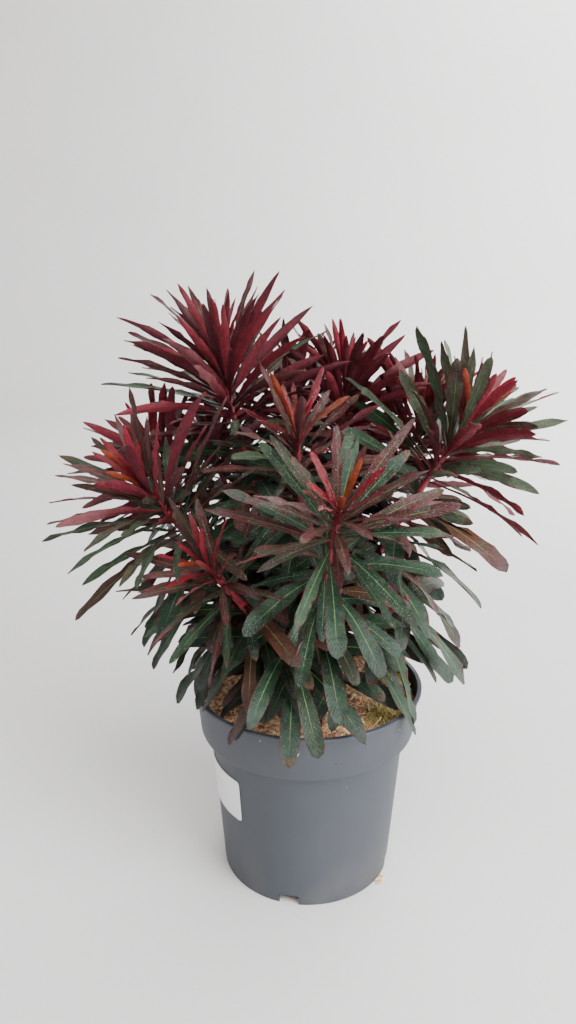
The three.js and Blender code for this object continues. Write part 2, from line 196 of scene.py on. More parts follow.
class Graph:
    """A node tree and the one method that adds its nodes."""

    def __init__(self, tree: bpy.types.NodeTree) -> None:
        """Keeps the tree."""
        self.tree = tree

    def node(self, kind: str, settings: dict[str, Any], inputs: dict[Any, Any],
             output: Any = 0) -> Sock:
        """Adds a node.

        Args:
            kind: the node's type.
            settings: its properties, set first. "stops" fills a colour ramp.
            inputs: a value or socket for each input, by name or number.
            output: the name or number of the output that is wanted.

        Returns:
            The wanted output.
        """
        made = self.tree.nodes.new(kind)
        for key, value in settings.items():
            if key == "stops":
                self._fill_ramp(made.color_ramp, value)
            else:
                setattr(made, key, value)
        for key, value in inputs.items():
            self.set_input(self._find(made.inputs, key), value)
        return Sock(self, self._find(made.outputs, output))

    @staticmethod
    def _fill_ramp(ramp: bpy.types.ColorRamp, stops: Sequence[tuple[float, tuple]]) -> None:
        """Sets a colour ramp's stops.

        Args:
            ramp: the ramp.
            stops: place and colour of each stop, in order.
        """
        while len(ramp.elements) < len(stops):
            ramp.elements.new(1.0)
        for element, (place, tint) in zip(ramp.elements, stops):
            element.position, element.color = place, (*tint, 1.0)

    @staticmethod
    def _find(sockets: Any, key: Any) -> bpy.types.NodeSocket:
        """The socket with a number, or the first one in use with a name.

        Args:
            sockets: a node's inputs or outputs.
            key: a name or a number.

        Returns:
            The socket.
        """
        if isinstance(key, int):
            return sockets[key]
        named = [s for s in sockets if s.name == key]
        return next((s for s in named if s.enabled), named[0] if named else sockets[key])

    def set_input(self, socket: bpy.types.NodeSocket, value: Any) -> None:
        """Links a socket, or sets its value.

        Args:
            socket: the input.
            value: another socket, or a plain value.
        """
        if isinstance(value, Sock):
            self.tree.links.new(value.link, socket)
        elif isinstance(value, Material):
            socket.default_value = value.block
        elif socket.type == "RGBA" and len(value) == 3:
            socket.default_value = (*value, 1.0)
        else:
            socket.default_value = value

    def math(self, operation: str, *values: Any) -> Sock:
        """A Math node on its values."""
        return self.node("ShaderNodeMath", {"operation": operation}, dict(enumerate(values)))

    def vector_math(self, operation: str, *values: Any) -> Sock:
        """A Vector Math node on its values."""
        return self.node("ShaderNodeVectorMath", {"operation": operation},
                         dict(enumerate(values)))

    def vector(self, x: Any = 0.0, y: Any = 0.0, z: Any = 0.0) -> Sock:
        """A vector from its three coordinates."""
        return self.node("ShaderNodeCombineXYZ", {}, {"X": x, "Y": y, "Z": z})


class Material(Graph):
    """A procedural material: a Principled shader and the nodes that feed it."""

    def __init__(self, name: str) -> None:
        """Makes a material of that name with an empty tree.

        Args:
            name: the material's name.
        """
        self.block = bpy.data.materials.new(name)
        self.block.use_nodes = True
        super().__init__(self.block.node_tree)
        self.tree.nodes.clear()

    def place(self) -> Sock:
        """The place on the object, in metres."""
        return self.node("ShaderNodeTexCoord", {}, {}, "Object")

    def value(self, name: Field) -> Sock:
        """A number that the mesh carries."""
        return self.node("ShaderNodeAttribute", {"attribute_name": name.value}, {}, "Fac")

    def noise(self, scale: float, detail: float = 3.0, rough: float = 0.55,
              at: Sock | None = None) -> Sock:
        """Noise from 0 to 1 with so many bumps for each metre, at the object's place or another."""
        return self.node("ShaderNodeTexNoise", {}, {"Vector": at or self.place(), "Scale": scale,
                                                    "Detail": detail, "Roughness": rough})

    def cells(self, at: Sock, scale: float) -> tuple[Sock, Sock]:
        """How far the nearest cell's middle is, and a random number of that cell."""
        near = self.node("ShaderNodeTexVoronoi", {}, {"Vector": at, "Scale": scale}, "Distance")
        return near, near.beside("Color").red()

    def mix(self, factor: Any, first: Any, second: Any, how: str = "MIX") -> Sock:
        """A colour from the first at factor 0 to the second at 1, in a blend mode."""
        return self.node("ShaderNodeMix", {"data_type": "RGBA", "blend_type": how},
                         {0: factor, 6: first, 7: second}, 2)

    def stops(self, factor: Sock, *stops: tuple[float, tuple]) -> Sock:
        """A colour ramp over a number."""
        return self.node("ShaderNodeValToRGB", {"stops": stops}, {"Fac": factor})

    def bump(self, height: Sock, strength: float, depth: float) -> Sock:
        """The normal of a relief, whose height of 1 stands for so many metres of depth."""
        return self.node("ShaderNodeBump", {},
                         {"Height": height, "Strength": strength, "Distance": depth})

    def finish(self, **inputs: Any) -> Material:
        """Adds the Principled shader and the output.

        Args:
            inputs: its sockets, with an underscore for each space.

        Returns:
            This material.
        """
        shader = self.node("ShaderNodeBsdfPrincipled", {},
                           {key.replace("_", " "): value for key, value in inputs.items()})
        output = self.tree.nodes.new("ShaderNodeOutputMaterial")
        self.tree.links.new(shader.link, output.inputs["Surface"])
        return self


class Geometry(Graph):
    """A Geometry Nodes tree with named inputs."""

    TYPES = {float: "NodeSocketFloat", int: "NodeSocketInt", Material: "NodeSocketMaterial"}

    def __init__(self, name: str, **sizes: Any) -> None:
        """Makes the tree with a geometry input and one input for each size.

        Args:
            name: the tree's name.
            sizes: the named inputs with their values.
        """
        super().__init__(bpy.data.node_groups.new(name, "GeometryNodeTree"))
        self.sizes = sizes
        face = self.tree.interface
        face.new_socket("Geometry", in_out="INPUT", socket_type="NodeSocketGeometry")
        face.new_socket("Geometry", in_out="OUTPUT", socket_type="NodeSocketGeometry")
        for key, value in sizes.items():
            face.new_socket(key, in_out="INPUT", socket_type=self.TYPES[type(value)])
        self.start = self.tree.nodes.new("NodeGroupInput")

    def input(self, name: str = "Geometry") -> Sock:
        """One of the tree's inputs."""
        return Sock(self, self.start.outputs[name])

    def named(self, name: Field, kind: str = "FLOAT") -> Sock:
        """A value that the geometry carries."""
        return self.node("GeometryNodeInputNamedAttribute", {"data_type": kind},
                         {"Name": name.value}, "Attribute")

    def store(self, geometry: Sock, name: Field, value: Sock, kind: str = "FLOAT") -> Sock:
        """The geometry with a value kept on its points."""
        return self.node("GeometryNodeStoreNamedAttribute", {"data_type": kind, "domain": "POINT"},
                         {"Geometry": geometry, "Name": name.value, "Value": value})

    def random(self, low: Any, high: Any, seed: int, kind: str = "FLOAT") -> Sock:
        """A random value between two for each point, from a fixed seed."""
        return self.node("FunctionNodeRandomValue", {"data_type": kind},
                         {"Min": low, "Max": high, "Seed": seed}, "Value")

    def position(self) -> Sock:
        """Where a point is."""
        return self.node("GeometryNodeInputPosition", {}, {})

    def solid(self, kind: str, **sizes: Any) -> Sock:
        """A closed cylinder or cone, its sizes named with an underscore for each space."""
        return self.node(f"GeometryNodeMesh{kind}", {"fill_type": "NGON"},
                         {key.replace("_", " "): value for key, value in sizes.items()}, "Mesh")

    def move(self, geometry: Sock, **places: Sock) -> Sock:
        """The geometry with its points at a Position or moved by an Offset."""
        return self.node("GeometryNodeSetPosition", {}, {"Geometry": geometry, **places})

    def scatter(self, density: Sock, seed: int) -> Sock:
        """Random points, so many for each square metre, on the mesh that the tree starts from."""
        return self.node("GeometryNodeDistributePointsOnFaces", {"distribute_method": "RANDOM"},
                         {"Mesh": self.input(), "Density": density, "Seed": seed}, "Points")

    def copies(self, points: Sock, bit: Sock, **turn_and_size: Any) -> Sock:
        """Copies of a bit on points, with their Rotation and Scale."""
        return self.node("GeometryNodeInstanceOnPoints", {},
                         {"Points": points, "Instance": bit, **turn_and_size})

    def realize(self, copies: Sock) -> Sock:
        """Copies as plain geometry."""
        return self.node("GeometryNodeRealizeInstances", {}, {"Geometry": copies})

    def curve(self) -> Sock:
        """The edges that the tree starts from, as curves."""
        return self.node("GeometryNodeMeshToCurve", {}, {"Mesh": self.input()})

    def stand(self, bit: Sock, density: Sock, size: Sock, seed: int) -> Sock:
        """Copies of an upright bit that stand on the mesh that the tree starts from."""
        points = self.scatter(density, seed)
        return self.copies(points, bit, Rotation=points.beside("Rotation"), Scale=size)

    def close(self, geometry: Sock, crease: Callable[[Geometry, Sock], Sock] | None = None
              ) -> Geometry:
        """Ends the tree in smooth shading, realised instances and the material.

        Args:
            geometry: what the tree made.
            crease: adds the nodes that keep some edges sharp.

        Returns:
            This tree.
        """
        smooth = self.node("GeometryNodeSetShadeSmooth", {}, {"Geometry": geometry})
        if crease:
            smooth = crease(self, smooth)
        made = self.node("GeometryNodeSetMaterial", {},
                         {"Geometry": self.realize(smooth), "Material": self.input("Material")})
        end = self.tree.nodes.new("NodeGroupOutput")
        self.tree.links.new(made.link, end.inputs["Geometry"])
        return self

    def grow(self, name: str, base: bpy.types.Mesh) -> bpy.types.Object:
        """Runs the tree on a mesh.

        Args:
            name: the piece's name.
            base: the mesh that the tree starts from.

        Returns:
            A piece with a plain mesh.
        """
        carrier = show(f"{name}_base", base)
        modifier = carrier.modifiers.new("tree", "NODES")
        modifier.node_group = self.tree
        for item in self.tree.interface.items_tree:
            if item.in_out == "INPUT" and item.name in self.sizes:
                value = self.sizes[item.name]
                modifier[item.identifier] = value.block if isinstance(value, Material) else value
        mesh = plain_mesh(carrier)
        mesh.name = name
        mesh.materials.clear()
        mesh.materials.append(self.sizes["Material"].block)
        bpy.data.objects.remove(carrier)
        return show(name, mesh)


# Meshes


def plain_mesh(obj: bpy.types.Object) -> bpy.types.Mesh:
    """The mesh of an object with its modifiers applied.

    Args:
        obj: the object.

    Returns:
        A mesh of its own.
    """
    graph = bpy.context.evaluated_depsgraph_get()
    graph.update()
    return bpy.data.meshes.new_from_object(obj.evaluated_get(graph), preserve_all_data_layers=True,
                                           depsgraph=graph)


def show(name: str, mesh: bpy.types.Mesh) -> bpy.types.Object:
    """Puts a mesh into the scene as a piece at the origin.

    Args:
        name: the piece's name.
        mesh: its mesh.

    Returns:
        The piece.
    """
    piece = bpy.data.objects.new(name, mesh)
    bpy.context.scene.collection.objects.link(piece)
    return piece


def mesh_of(name: str, points: Sequence[Any], faces: Sequence[Any] = (),
            edges: Sequence[Any] = ()) -> bpy.types.Mesh:
    """A mesh from its points with faces or edges.

    Args:
        name: the mesh's name.
        points: its points.
        faces: its faces as point numbers.
        edges: its loose edges as point numbers.

    Returns:
        The mesh.
    """
    mesh = bpy.data.meshes.new(name)
    mesh.from_pydata([tuple(p) for p in points], list(edges), list(faces))
    mesh.update()
    return mesh


def add_values(mesh: bpy.types.Mesh, name: Field, values: Sequence[Any]) -> None:
    """Gives each point of a mesh a number or a vector.

    Args:
        mesh: the mesh.
        name: the value's name.
        values: one for each point.
    """
    is_vector = not isinstance(values[0], (int, float))
    layer = mesh.attributes.new(name.value, VECTOR if is_vector else "FLOAT", "POINT")
    for item, value in zip(layer.data, values):
        setattr(item, "vector" if is_vector else "value", value)


def smooth_by_angle(mesh: bpy.types.Mesh, degrees: float) -> None:
    """Shades a mesh smooth with its sharper edges kept."""
    mesh.polygons.foreach_set("use_smooth", [True] * len(mesh.polygons))
    mesh.set_sharp_from_angle(angle=math.radians(degrees))


def turned_mesh(name: str, profile: Sequence[tuple[float, float]], sides: int) -> bpy.types.Mesh:
    """A closed solid turned round the upright axis.

    Args:
        name: the mesh's name.
        profile: radius and height of each point, from the axis and back to it.
        sides: number of sides.

    Returns:
        The mesh, with its faces outwards.
    """
    builder = bmesh.new()
    rings = [[builder.verts.new((x, y, height)) for x, y in ring(radius, sides)] if radius > 0
             else [builder.verts.new((0, 0, height))] * sides for radius, height in profile]
    for low, high in zip(rings, rings[1:]):
        for i, j in around(sides):
            builder.faces.new(list(dict.fromkeys((low[i], low[j], high[j], high[i]))))
    return outward_mesh(name, builder)


def outward_mesh(name: str, builder: bmesh.types.BMesh) -> bpy.types.Mesh:
    """Ends a mesh being made, with its faces outwards.

    Args:
        name: the mesh's name.
        builder: the mesh being made.

    Returns:
        The mesh.
    """
    bmesh.ops.recalc_face_normals(builder, faces=builder.faces)
    mesh = bpy.data.meshes.new(name)
    builder.to_mesh(mesh)
    builder.free()
    return mesh


def ring(radius: float, sides: int) -> list[tuple[float, float]]:
    """The corners of a regular polygon round the axis."""
    turns = [2 * math.pi * k / sides for k in range(sides)]
    return [(radius * math.cos(a), radius * math.sin(a)) for a in turns]


def around(sides: int) -> list[tuple[int, int]]:
    """The two ends of each side of a polygon."""
    return [(k, (k + 1) % sides) for k in range(sides)]


def disc_faces(rings: int, sides: int) -> list[tuple[int, ...]]:
    """Faces of a surface round the axis: a fan from point 0, then bands from ring to ring.

    Args:
        rings: number of rings.
        sides: number of sides.

    Returns:
        The faces as point numbers.
    """
    faces = [(0, 1 + k, 1 + j) for k, j in around(sides)]
    for a in range(1, 1 + (rings - 1) * sides, sides):
        faces += [(a + k, a + sides + k, a + sides + j, a + j) for k, j in around(sides)]
    return faces


def round_axis(azimuth: float, radius: float, height: float) -> Vector:
    """The point at an azimuth in degrees, a radius and a height."""
    angle = math.radians(azimuth)
    return Vector((radius * math.cos(angle), radius * math.sin(angle), height))


def dress(piece: bpy.types.Object, slot: Slot, replaced: Iterable[str] = ()) -> None:
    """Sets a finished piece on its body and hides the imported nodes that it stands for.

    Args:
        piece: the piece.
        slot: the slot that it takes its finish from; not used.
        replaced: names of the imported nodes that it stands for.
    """
    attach(piece, BODY)
    if replaced:
        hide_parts(*replaced)
    LOG.info("%s: %d faces", piece.name, len(piece.data.polygons))


# Finishes


@dataclass(frozen=True)
class LeafPattern:
    """What varies over the leaves, as sockets of their material."""

    along: Sock
    across: Sock
    youth: Sock
    seed: Sock
    flush: Sock
    dew: Sock
    blotch: Sock
    fine: Sock
    crinkle: Sock
    # Painted light: 1 on the plant's right-hand side, where the leaves are made paler and warmer
    right_painted_light: Sock
    rib: Sock
    veins: Sock

    @classmethod
    def of(cls, m: Material) -> LeafPattern:
        """Adds the pattern to the leaves' material.

        Args:
            m: the material.

        Returns:
            The pattern.
        """
        along, across, youth, seed, flush, dew = (m.value(name) for name in (
            Field.ALONG, Field.ACROSS, Field.YOUTH, Field.SEED, Field.FLUSH, Field.DEW))
        # Painted light: leaves towards +X, on the plant's right-hand side, are made paler and
        # warmer.
        right_painted_light = m.place().part("X").ramp(0.045, 0.105)
        rib = ((1 - across.abs() / (0.120 - along * 0.085)).clamp().ramp(0.0, 0.7)
               * (1 - along.ramp(0.62, 0.95)))
        phase = (along * 23.0 - across.abs() * 2.6 + m.noise(60.0, 1.0) * 0.9) * (2 * math.pi)
        veins = (phase.sin() * 0.5 + 0.5) ** 5.0
        return cls(along, across, youth, seed, flush, dew, m.noise(85.0, 4.0, 0.6),
                   m.noise(900.0, 2.0, 0.5), m.noise(330.0, 2.0, 0.5), right_painted_light, rib, veins)


@dataclass(frozen=True)
class LeafFinish:
    """Skin of a leaf: a dark dewy upper face with a pale midrib, and a matte underside."""

    name: str
    upper: tuple = (0.0028, 0.0165, 0.0068)
    upper_pale: tuple = (0.013, 0.041, 0.0160)
    upper_blue: tuple = (0.0060, 0.024, 0.0120)
    # Grey-green bloom of the leaves, also used as painted light on the plant's right-hand side.
    bloom_and_painted_light: tuple = (0.100, 0.136, 0.088)
    under: tuple = (0.086, 0.0080, 0.0145)
    under_dark: tuple = (0.034, 0.0055, 0.0095)
    # Warmer red of some undersides, also used as painted light on the plant's right-hand side.
    under_warm_and_painted_light: tuple = (0.140, 0.0150, 0.0230)
    under_worn: tuple = (0.086, 0.0310, 0.0340)
    young: tuple = (0.150, 0.0050, 0.0135)
    young_warm: tuple = (0.150, 0.0240, 0.0040)
    flushed: tuple = (0.054, 0.0072, 0.0110)
    midrib: tuple = (0.150, 0.210, 0.066)
    tip: tuple = (0.056, 0.017, 0.023)
    margin: tuple = (0.085, 0.005, 0.007)
    scorched: tuple = (0.055, 0.027, 0.014)
    midrib_young: tuple = (0.24, 0.05, 0.020)
    under_rib: tuple = (0.19, 0.012, 0.018)
    # Painted highlight: this pale colour of the flat dew drops stands for their glints.
    wet: tuple = (0.120, 0.180, 0.135)
    # Painted shade in the hollows and painted highlight on the raised parts of the crinkled relief.
    hollow_painted_shade: tuple = (0.66, 0.66, 0.66)
    raised: tuple = (1.30, 1.30, 1.30)
    gloss: float = 0.40
    shine: float = 0.21
    drops: float = 1250.0

    def make(self) -> Material:
        """The material of the leaves.

        Returns:
            The material.
        """
        m = Material(self.name)
        p = LeafPattern.of(m)
        under = m.value(Field.SIDE) > 0.5
        drops = self._drops(m, p) * (1 - under)
        skin = m.mix(under, self._upper_face(m, p), self._underside(m, p))
        bright = m.mix((p.seed > 0.84) * p.blotch.ramp(0.2, 0.5), self.young, self.young_warm)
        skin = m.mix(p.youth.ramp(0.30, 0.95) * 0.92, skin, bright)
        # Painted highlight of the dew drops.
        skin = m.mix(drops * 0.36, skin, self.wet)
        # Painted shade and highlight: the relief's noise darkens its hollows and lightens its raised
        # parts.
        shade = m.mix(p.fine * 0.5 + p.crinkle.ramp(0.3, 0.7) * 0.5, self.hollow_painted_shade, self.raised)
        skin = m.mix(1.0, skin, shade, "MULTIPLY")
        rough = self.gloss + under * 0.18 + (p.fine - 0.5) * 0.24 - drops * 0.26
        relief = (p.veins * 0.16 + p.rib * 0.4 + p.fine * 0.20 + p.blotch * 1.1 + p.crinkle * 0.7
                  + drops * 0.6)
        return m.finish(Base_Color=skin, Roughness=rough, Normal=m.bump(relief, 0.7, 0.0012),
                        Specular_IOR_Level=self.shine)

    def _upper_face(self, m: Material, p: LeafPattern) -> Sock:
        """Colour of the upper face: green, flushed with red, with a pale midrib, paler on the
        plant's right-hand side as painted light.

        Args:
            m: the material.
            p: its pattern.

        Returns:
            The colour.
        """
        top = m.mix(p.blotch.ramp(0.3, 0.75), self.upper, self.upper_pale)
        top = m.mix(p.seed.ramp(0.2, 0.8) * 0.7, top, self.upper_blue)
        # Grey bloom that varies from leaf to leaf and grows towards the tip, thickened as painted
        # light on the plant's right-hand side.
        veil_and_painted_light = ((p.seed * 7.0).sin().ramp(-0.2, 0.9) * 0.7 + 0.3 + p.right_painted_light).clamp()
        veil_and_painted_light = veil_and_painted_light * p.along.ramp(0.1, 0.7) * (0.28 + p.right_painted_light * 0.72)
        top = m.mix(veil_and_painted_light * (1 - p.dew.ramp(0.1, 0.5) * 0.8) * 0.75, top, self.bloom_and_painted_light)
        # Darker towards the leaf's foot, less so on the right-hand side where light is painted.
        top = m.mix((1 - p.along.ramp(0.1, 0.7)) * (0.55 - p.right_painted_light * 0.3), top, self.upper)
        # Painted light: the leaves on the plant's right-hand side are mixed towards the bloom
        # colour.
        top = m.mix(p.right_painted_light * 0.48, top, self.bloom_and_painted_light)
        redness = p.flush.ramp(0.12, 0.55) * (0.5 + p.blotch.ramp(0.30, 0.60) * 0.5)
        top = m.mix(redness, top, self.flushed)
        top = m.mix(p.veins * 0.16 * (1 - p.across.abs()), top, self.upper_pale)
        edge = p.across.abs().ramp(0.86, 1.0) * (0.25 + p.blotch.ramp(0.40, 0.6) * 0.75)
        top = m.mix(edge * 0.8, top, self.margin)
        end = p.along.ramp(0.66, 1.02) * (0.08 + p.seed.ramp(0.4, 1.0) * 0.38 + p.flush * 0.3)
        top = m.mix(end, top, self.tip)
        scorch = ((p.seed * 57.0).sin() > 0.84) * (p.along + p.blotch * 0.14).ramp(0.97, 1.01)
        top = m.mix(scorch * 0.85, top, self.scorched)
        top = m.mix((1 - p.along.ramp(0.02, 0.16)) * 0.6, top, self.under)
        warm = m.mix(p.youth * 0.7 + p.flush * 0.3, self.midrib, self.midrib_young)
        return m.mix(p.rib * 0.80, top, warm)

    def _underside(self, m: Material, p: LeafPattern) -> Sock:
        """Colour of the underside, warmer and paler on the plant's right-hand side as painted light.

        Args:
            m: the material.
            p: its pattern.

        Returns:
            The colour.
        """
        low = m.mix(p.blotch.ramp(0.25, 0.7) * 0.7, self.under, self.under_dark)
        low = m.mix((1 - p.seed.ramp(0.0, 0.35)) * 0.6, low, self.under_dark)
        # Warmer on some leaves at random and, as painted light, on the plant's right-hand side.
        low = m.mix((p.seed.ramp(0.50, 0.72) * 0.7 + p.right_painted_light * 0.5).clamp(), low, self.under_warm_and_painted_light)
        worn = (p.seed * 23.0).sin().ramp(0.5, 0.9) * p.along.ramp(0.1, 0.7)
        low = m.mix(worn * 0.8, low, self.under_worn)
        return m.mix(p.rib * 0.40 + p.veins * 0.08, low, self.under_rib)

    def _drops(self, m: Material, p: LeafPattern) -> Sock:
        """Fine flat dew, thickest where the leaf carries most of it.

        Args:
            m: the material.
            p: its pattern.

        Returns:
            1 on a drop, 0 between.
        """
        near, pick = m.cells(m.place(), self.drops)
        patch = m.noise(70.0, 3.0).ramp(0.36, 0.60)
        return (near < 0.12 + pick * 0.42) * (pick > 0.22) * p.dew.ramp(0.05, 0.60) * patch


@dataclass(frozen=True)
class StemFinish:
    """Bark of a young stem: crimson above, duller and browner towards the foot."""

    name: str = "stem_bark"
    bright: tuple = (0.17, 0.008, 0.014)
    dark: tuple = (0.060, 0.005, 0.009)
    woody: tuple = (0.060, 0.032, 0.018)

    def make(self) -> Material:
        """The material of the stems.

        Returns:
            The material.
        """
        m = Material(self.name)
        along = m.value(Field.ALONG)
        patch, fine = m.noise(130.0, 4.0), m.noise(1500.0, 2.0)
        bark = m.mix(patch.ramp(0.3, 0.7), self.bright, self.dark)
        bark = m.mix((1 - along.ramp(0.0, 0.45)) * 0.8, bark, self.woody)
        return m.finish(Base_Color=bark, Roughness=0.42 + patch * 0.2, Specular_IOR_Level=0.45,
                        Normal=m.bump(patch * 0.7 + fine * 0.3, 0.5, 0.0004))


@dataclass(frozen=True)
class PlasticFinish:
    """Matte moulded plastic with a fine grain, dust, scuffs and small specks of soil."""

    name: str
    tint: tuple = (0.042, 0.048, 0.060)
    dust: tuple = (0.070, 0.075, 0.084)
    splash: tuple = (0.12, 0.105, 0.09)
    dark_speck: tuple = (0.030, 0.025, 0.022)
    pale_speck: tuple = (0.42, 0.39, 0.33)
    roughness: float = 0.52
    specks: float = 1.0

    def make(self) -> Material:
        """The material of the pot.

        Returns:
            The material.
        """
        m = Material(self.name)
        place = m.place()
        cloud, grain = m.noise(14.0, 4.0), m.noise(2600.0, 2.0, 0.6)
        streak = m.noise(1.0, 3.0, 0.5, at=place * (90.0, 90.0, 9.0))
        body = m.mix(cloud.ramp(0.35, 0.75) * 0.35, self.tint, self.dust)
        body = m.mix(streak.ramp(0.58, 0.8) * 0.18, body, self.dust)
        low = 1 - place.part("Z").ramp(0.0, 0.05)
        body = m.mix(low * cloud.ramp(0.4, 0.7) * 0.35, body, self.splash)
        for at, scale, size, bare, tint in (
                (place, 90.0, 0.075, 0.86, self.dark_speck),
                (place + (3.1, 1.7, 0.6), 75.0, 0.050, 0.84, self.pale_speck)):
            body = m.mix(self._specks(m, at, scale, size, bare) * self.specks, body, tint)
        rough = self.roughness + cloud * 0.12 + (grain - 0.5) * 0.10
        return m.finish(Base_Color=body, Roughness=rough, Specular_IOR_Level=0.40,
                        Normal=m.bump(grain * 0.6 + streak * 0.4, 0.35, 0.0003))

    @staticmethod
    def _specks(m: Material, at: Sock, scale: float, size: float, bare: float) -> Sock:
        """Small separate specks.

        Args:
            m: the material.
            at: where they are read.
            scale: cells for each metre.
            size: radius of a speck in cells.
            bare: how many of the cells stay bare.

        Returns:
            1 on a speck, 0 elsewhere.
        """
        warp = m.node("ShaderNodeTexNoise", {}, {"Vector": at, "Scale": 420.0}, "Color") * 0.004
        near, pick = m.cells(at + warp, scale)
        return (near < pick * size) * (pick > bare)


@dataclass(frozen=True)
class SoilFinish:
    """Dark peaty soil, or the wood fibres and chips that lie in it."""

    name: str
    light: tuple = (0.90, 0.48, 0.23)
    middle: tuple = (0.78, 0.37, 0.160)
    dark: tuple = (0.220, 0.088, 0.040)
    pale: tuple = (0.95, 0.79, 0.56)
    scale: float = 380.0

    def make(self) -> Material:
        """The material, coloured piece by piece through the carried seed.

        Returns:
            The material.
        """
        m = Material(self.name)
        seed = m.value(Field.SEED)
        grain = m.noise(self.scale, 4.0, 0.65)
        fine = m.noise(2400.0, 2.0)
        tint = m.stops(seed, (0.0, self.dark), (0.25, self.middle), (0.60, self.light),
                       (1.0, self.pale))
        tint = m.mix(grain.ramp(0.45, 0.75) * 0.35, tint, self.dark)
        tint = m.mix(fine * 0.25, tint, self.pale)
        return m.finish(Base_Color=tint, Roughness=0.78 + fine * 0.15, Specular_IOR_Level=0.30,
                        Normal=m.bump(grain * 0.6 + fine * 0.4, 0.8, 0.0008))


@dataclass(frozen=True)
class MossFinish:
    """Yellow-green moss."""

    name: str = "moss"
    green: tuple = (0.200, 0.215, 0.036)
    gold: tuple = (0.58, 0.48, 0.15)

    def make(self) -> Material:
        """The material of the moss.

        Returns:
            The material.
        """
        m = Material(self.name)
        seed, patch = m.value(Field.SEED), m.noise(120.0, 3.0)
        tint = m.mix(seed * 0.7 + patch * 0.3, self.green, self.gold)
        tint = m.mix(m.value(Field.ALONG) * 0.4, tint, self.gold)
        return m.finish(Base_Color=tint, Roughness=0.7 + patch * 0.2, Specular_IOR_Level=0.3,
                        Normal=m.bump(patch, 0.4, 0.0005))


@dataclass(frozen=True)
class PaperFinish:
    """Blank coated paper of the label."""

    name: str = "label_paper"
    white: tuple = (0.78, 0.79, 0.80)
    worn: tuple = (0.62, 0.62, 0.61)

    def make(self) -> Material:
        """The material of the label.

        Returns:
            The material.
        """
        m = Material(self.name)
        cloud, fibre = m.noise(45.0, 4.0), m.noise(1800.0, 3.0)
        sheet = m.mix(cloud.ramp(0.45, 0.8) * 0.5, self.white, self.worn)
        return m.finish(Base_Color=sheet, Roughness=0.38 + fibre * 0.15, Specular_IOR_Level=0.45,
                        Normal=m.bump(cloud * 0.7 + fibre * 0.3, 0.3, 0.0005))


@dataclass(frozen=True)
class DewFinish:
    """Clear water drops."""

    name: str = "dew"
    thin: tuple = (0.40, 0.48, 0.44)
    thick: tuple = (0.72, 0.80, 0.76)

    def make(self) -> Material:
        """The material of the drops.

        Returns:
            The material.
        """
        m = Material(self.name)
        cloud = m.noise(700.0)
        tint = m.mix(cloud, self.thin, self.thick)
        return m.finish(Base_Color=tint, Roughness=0.04 + cloud * 0.06, Specular_IOR_Level=0.8,
                        IOR=1.33, Transmission_Weight=0.6)


@dataclass(frozen=True)
class HairFinish:
    """Fine pale hairs of a young stem."""

    name: str = "stem_hair"
    foot: tuple = (0.20, 0.035, 0.035)
    tip: tuple = (0.48, 0.30, 0.26)

    def make(self) -> Material:
        """The material of the hairs.

        Returns:
            The material.
        """
        m = Material(self.name)
        tint = m.mix(m.value(Field.ALONG), self.foot, self.tip)
        return m.finish(Base_Color=tint, Roughness=0.5 + m.noise(900.0) * 0.2)


@dataclass(frozen=True)
class StudioFinish:
    """Pale matte paint of the studio's floor."""

    name: str = "studio_floor"
    shade: tuple = (0.565, 0.552, 0.543)
    light: tuple = (0.615, 0.602, 0.592)

    def make(self) -> Material:
        """The material of the floor.

        Returns:
            The material.
        """
        m = Material(self.name)
        tint = m.mix(m.noise(2.5, 3.0), self.shade, self.light)
        return m.finish(Base_Color=tint, Roughness=0.62 + m.noise(30.0) * 0.1,
                        Normal=m.bump(m.noise(500.0, 3.0), 0.1, 0.0004))


# The plant


@dataclass
class Blade:
    """One leaf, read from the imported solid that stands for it."""

    spine: list[Vector]
    faces: list[Vector]
    half_width: float

    @property
    def length(self) -> float:
        """Length of the spine."""
        return sum((b - a).length for a, b in zip(self.spine, self.spine[1:]))

    @property
    def middle(self) -> Vector:
        """The point in the middle of the spine's points."""
        return self.spine[len(self.spine) // 2]

    def show_upper(self, side: Vector) -> None:
        """Turns the leaf over where its underside is seen from one side of the plant."""
        if self.faces[len(self.faces) // 2].dot(side) < 0:
            self.faces = [-face for face in self.faces]


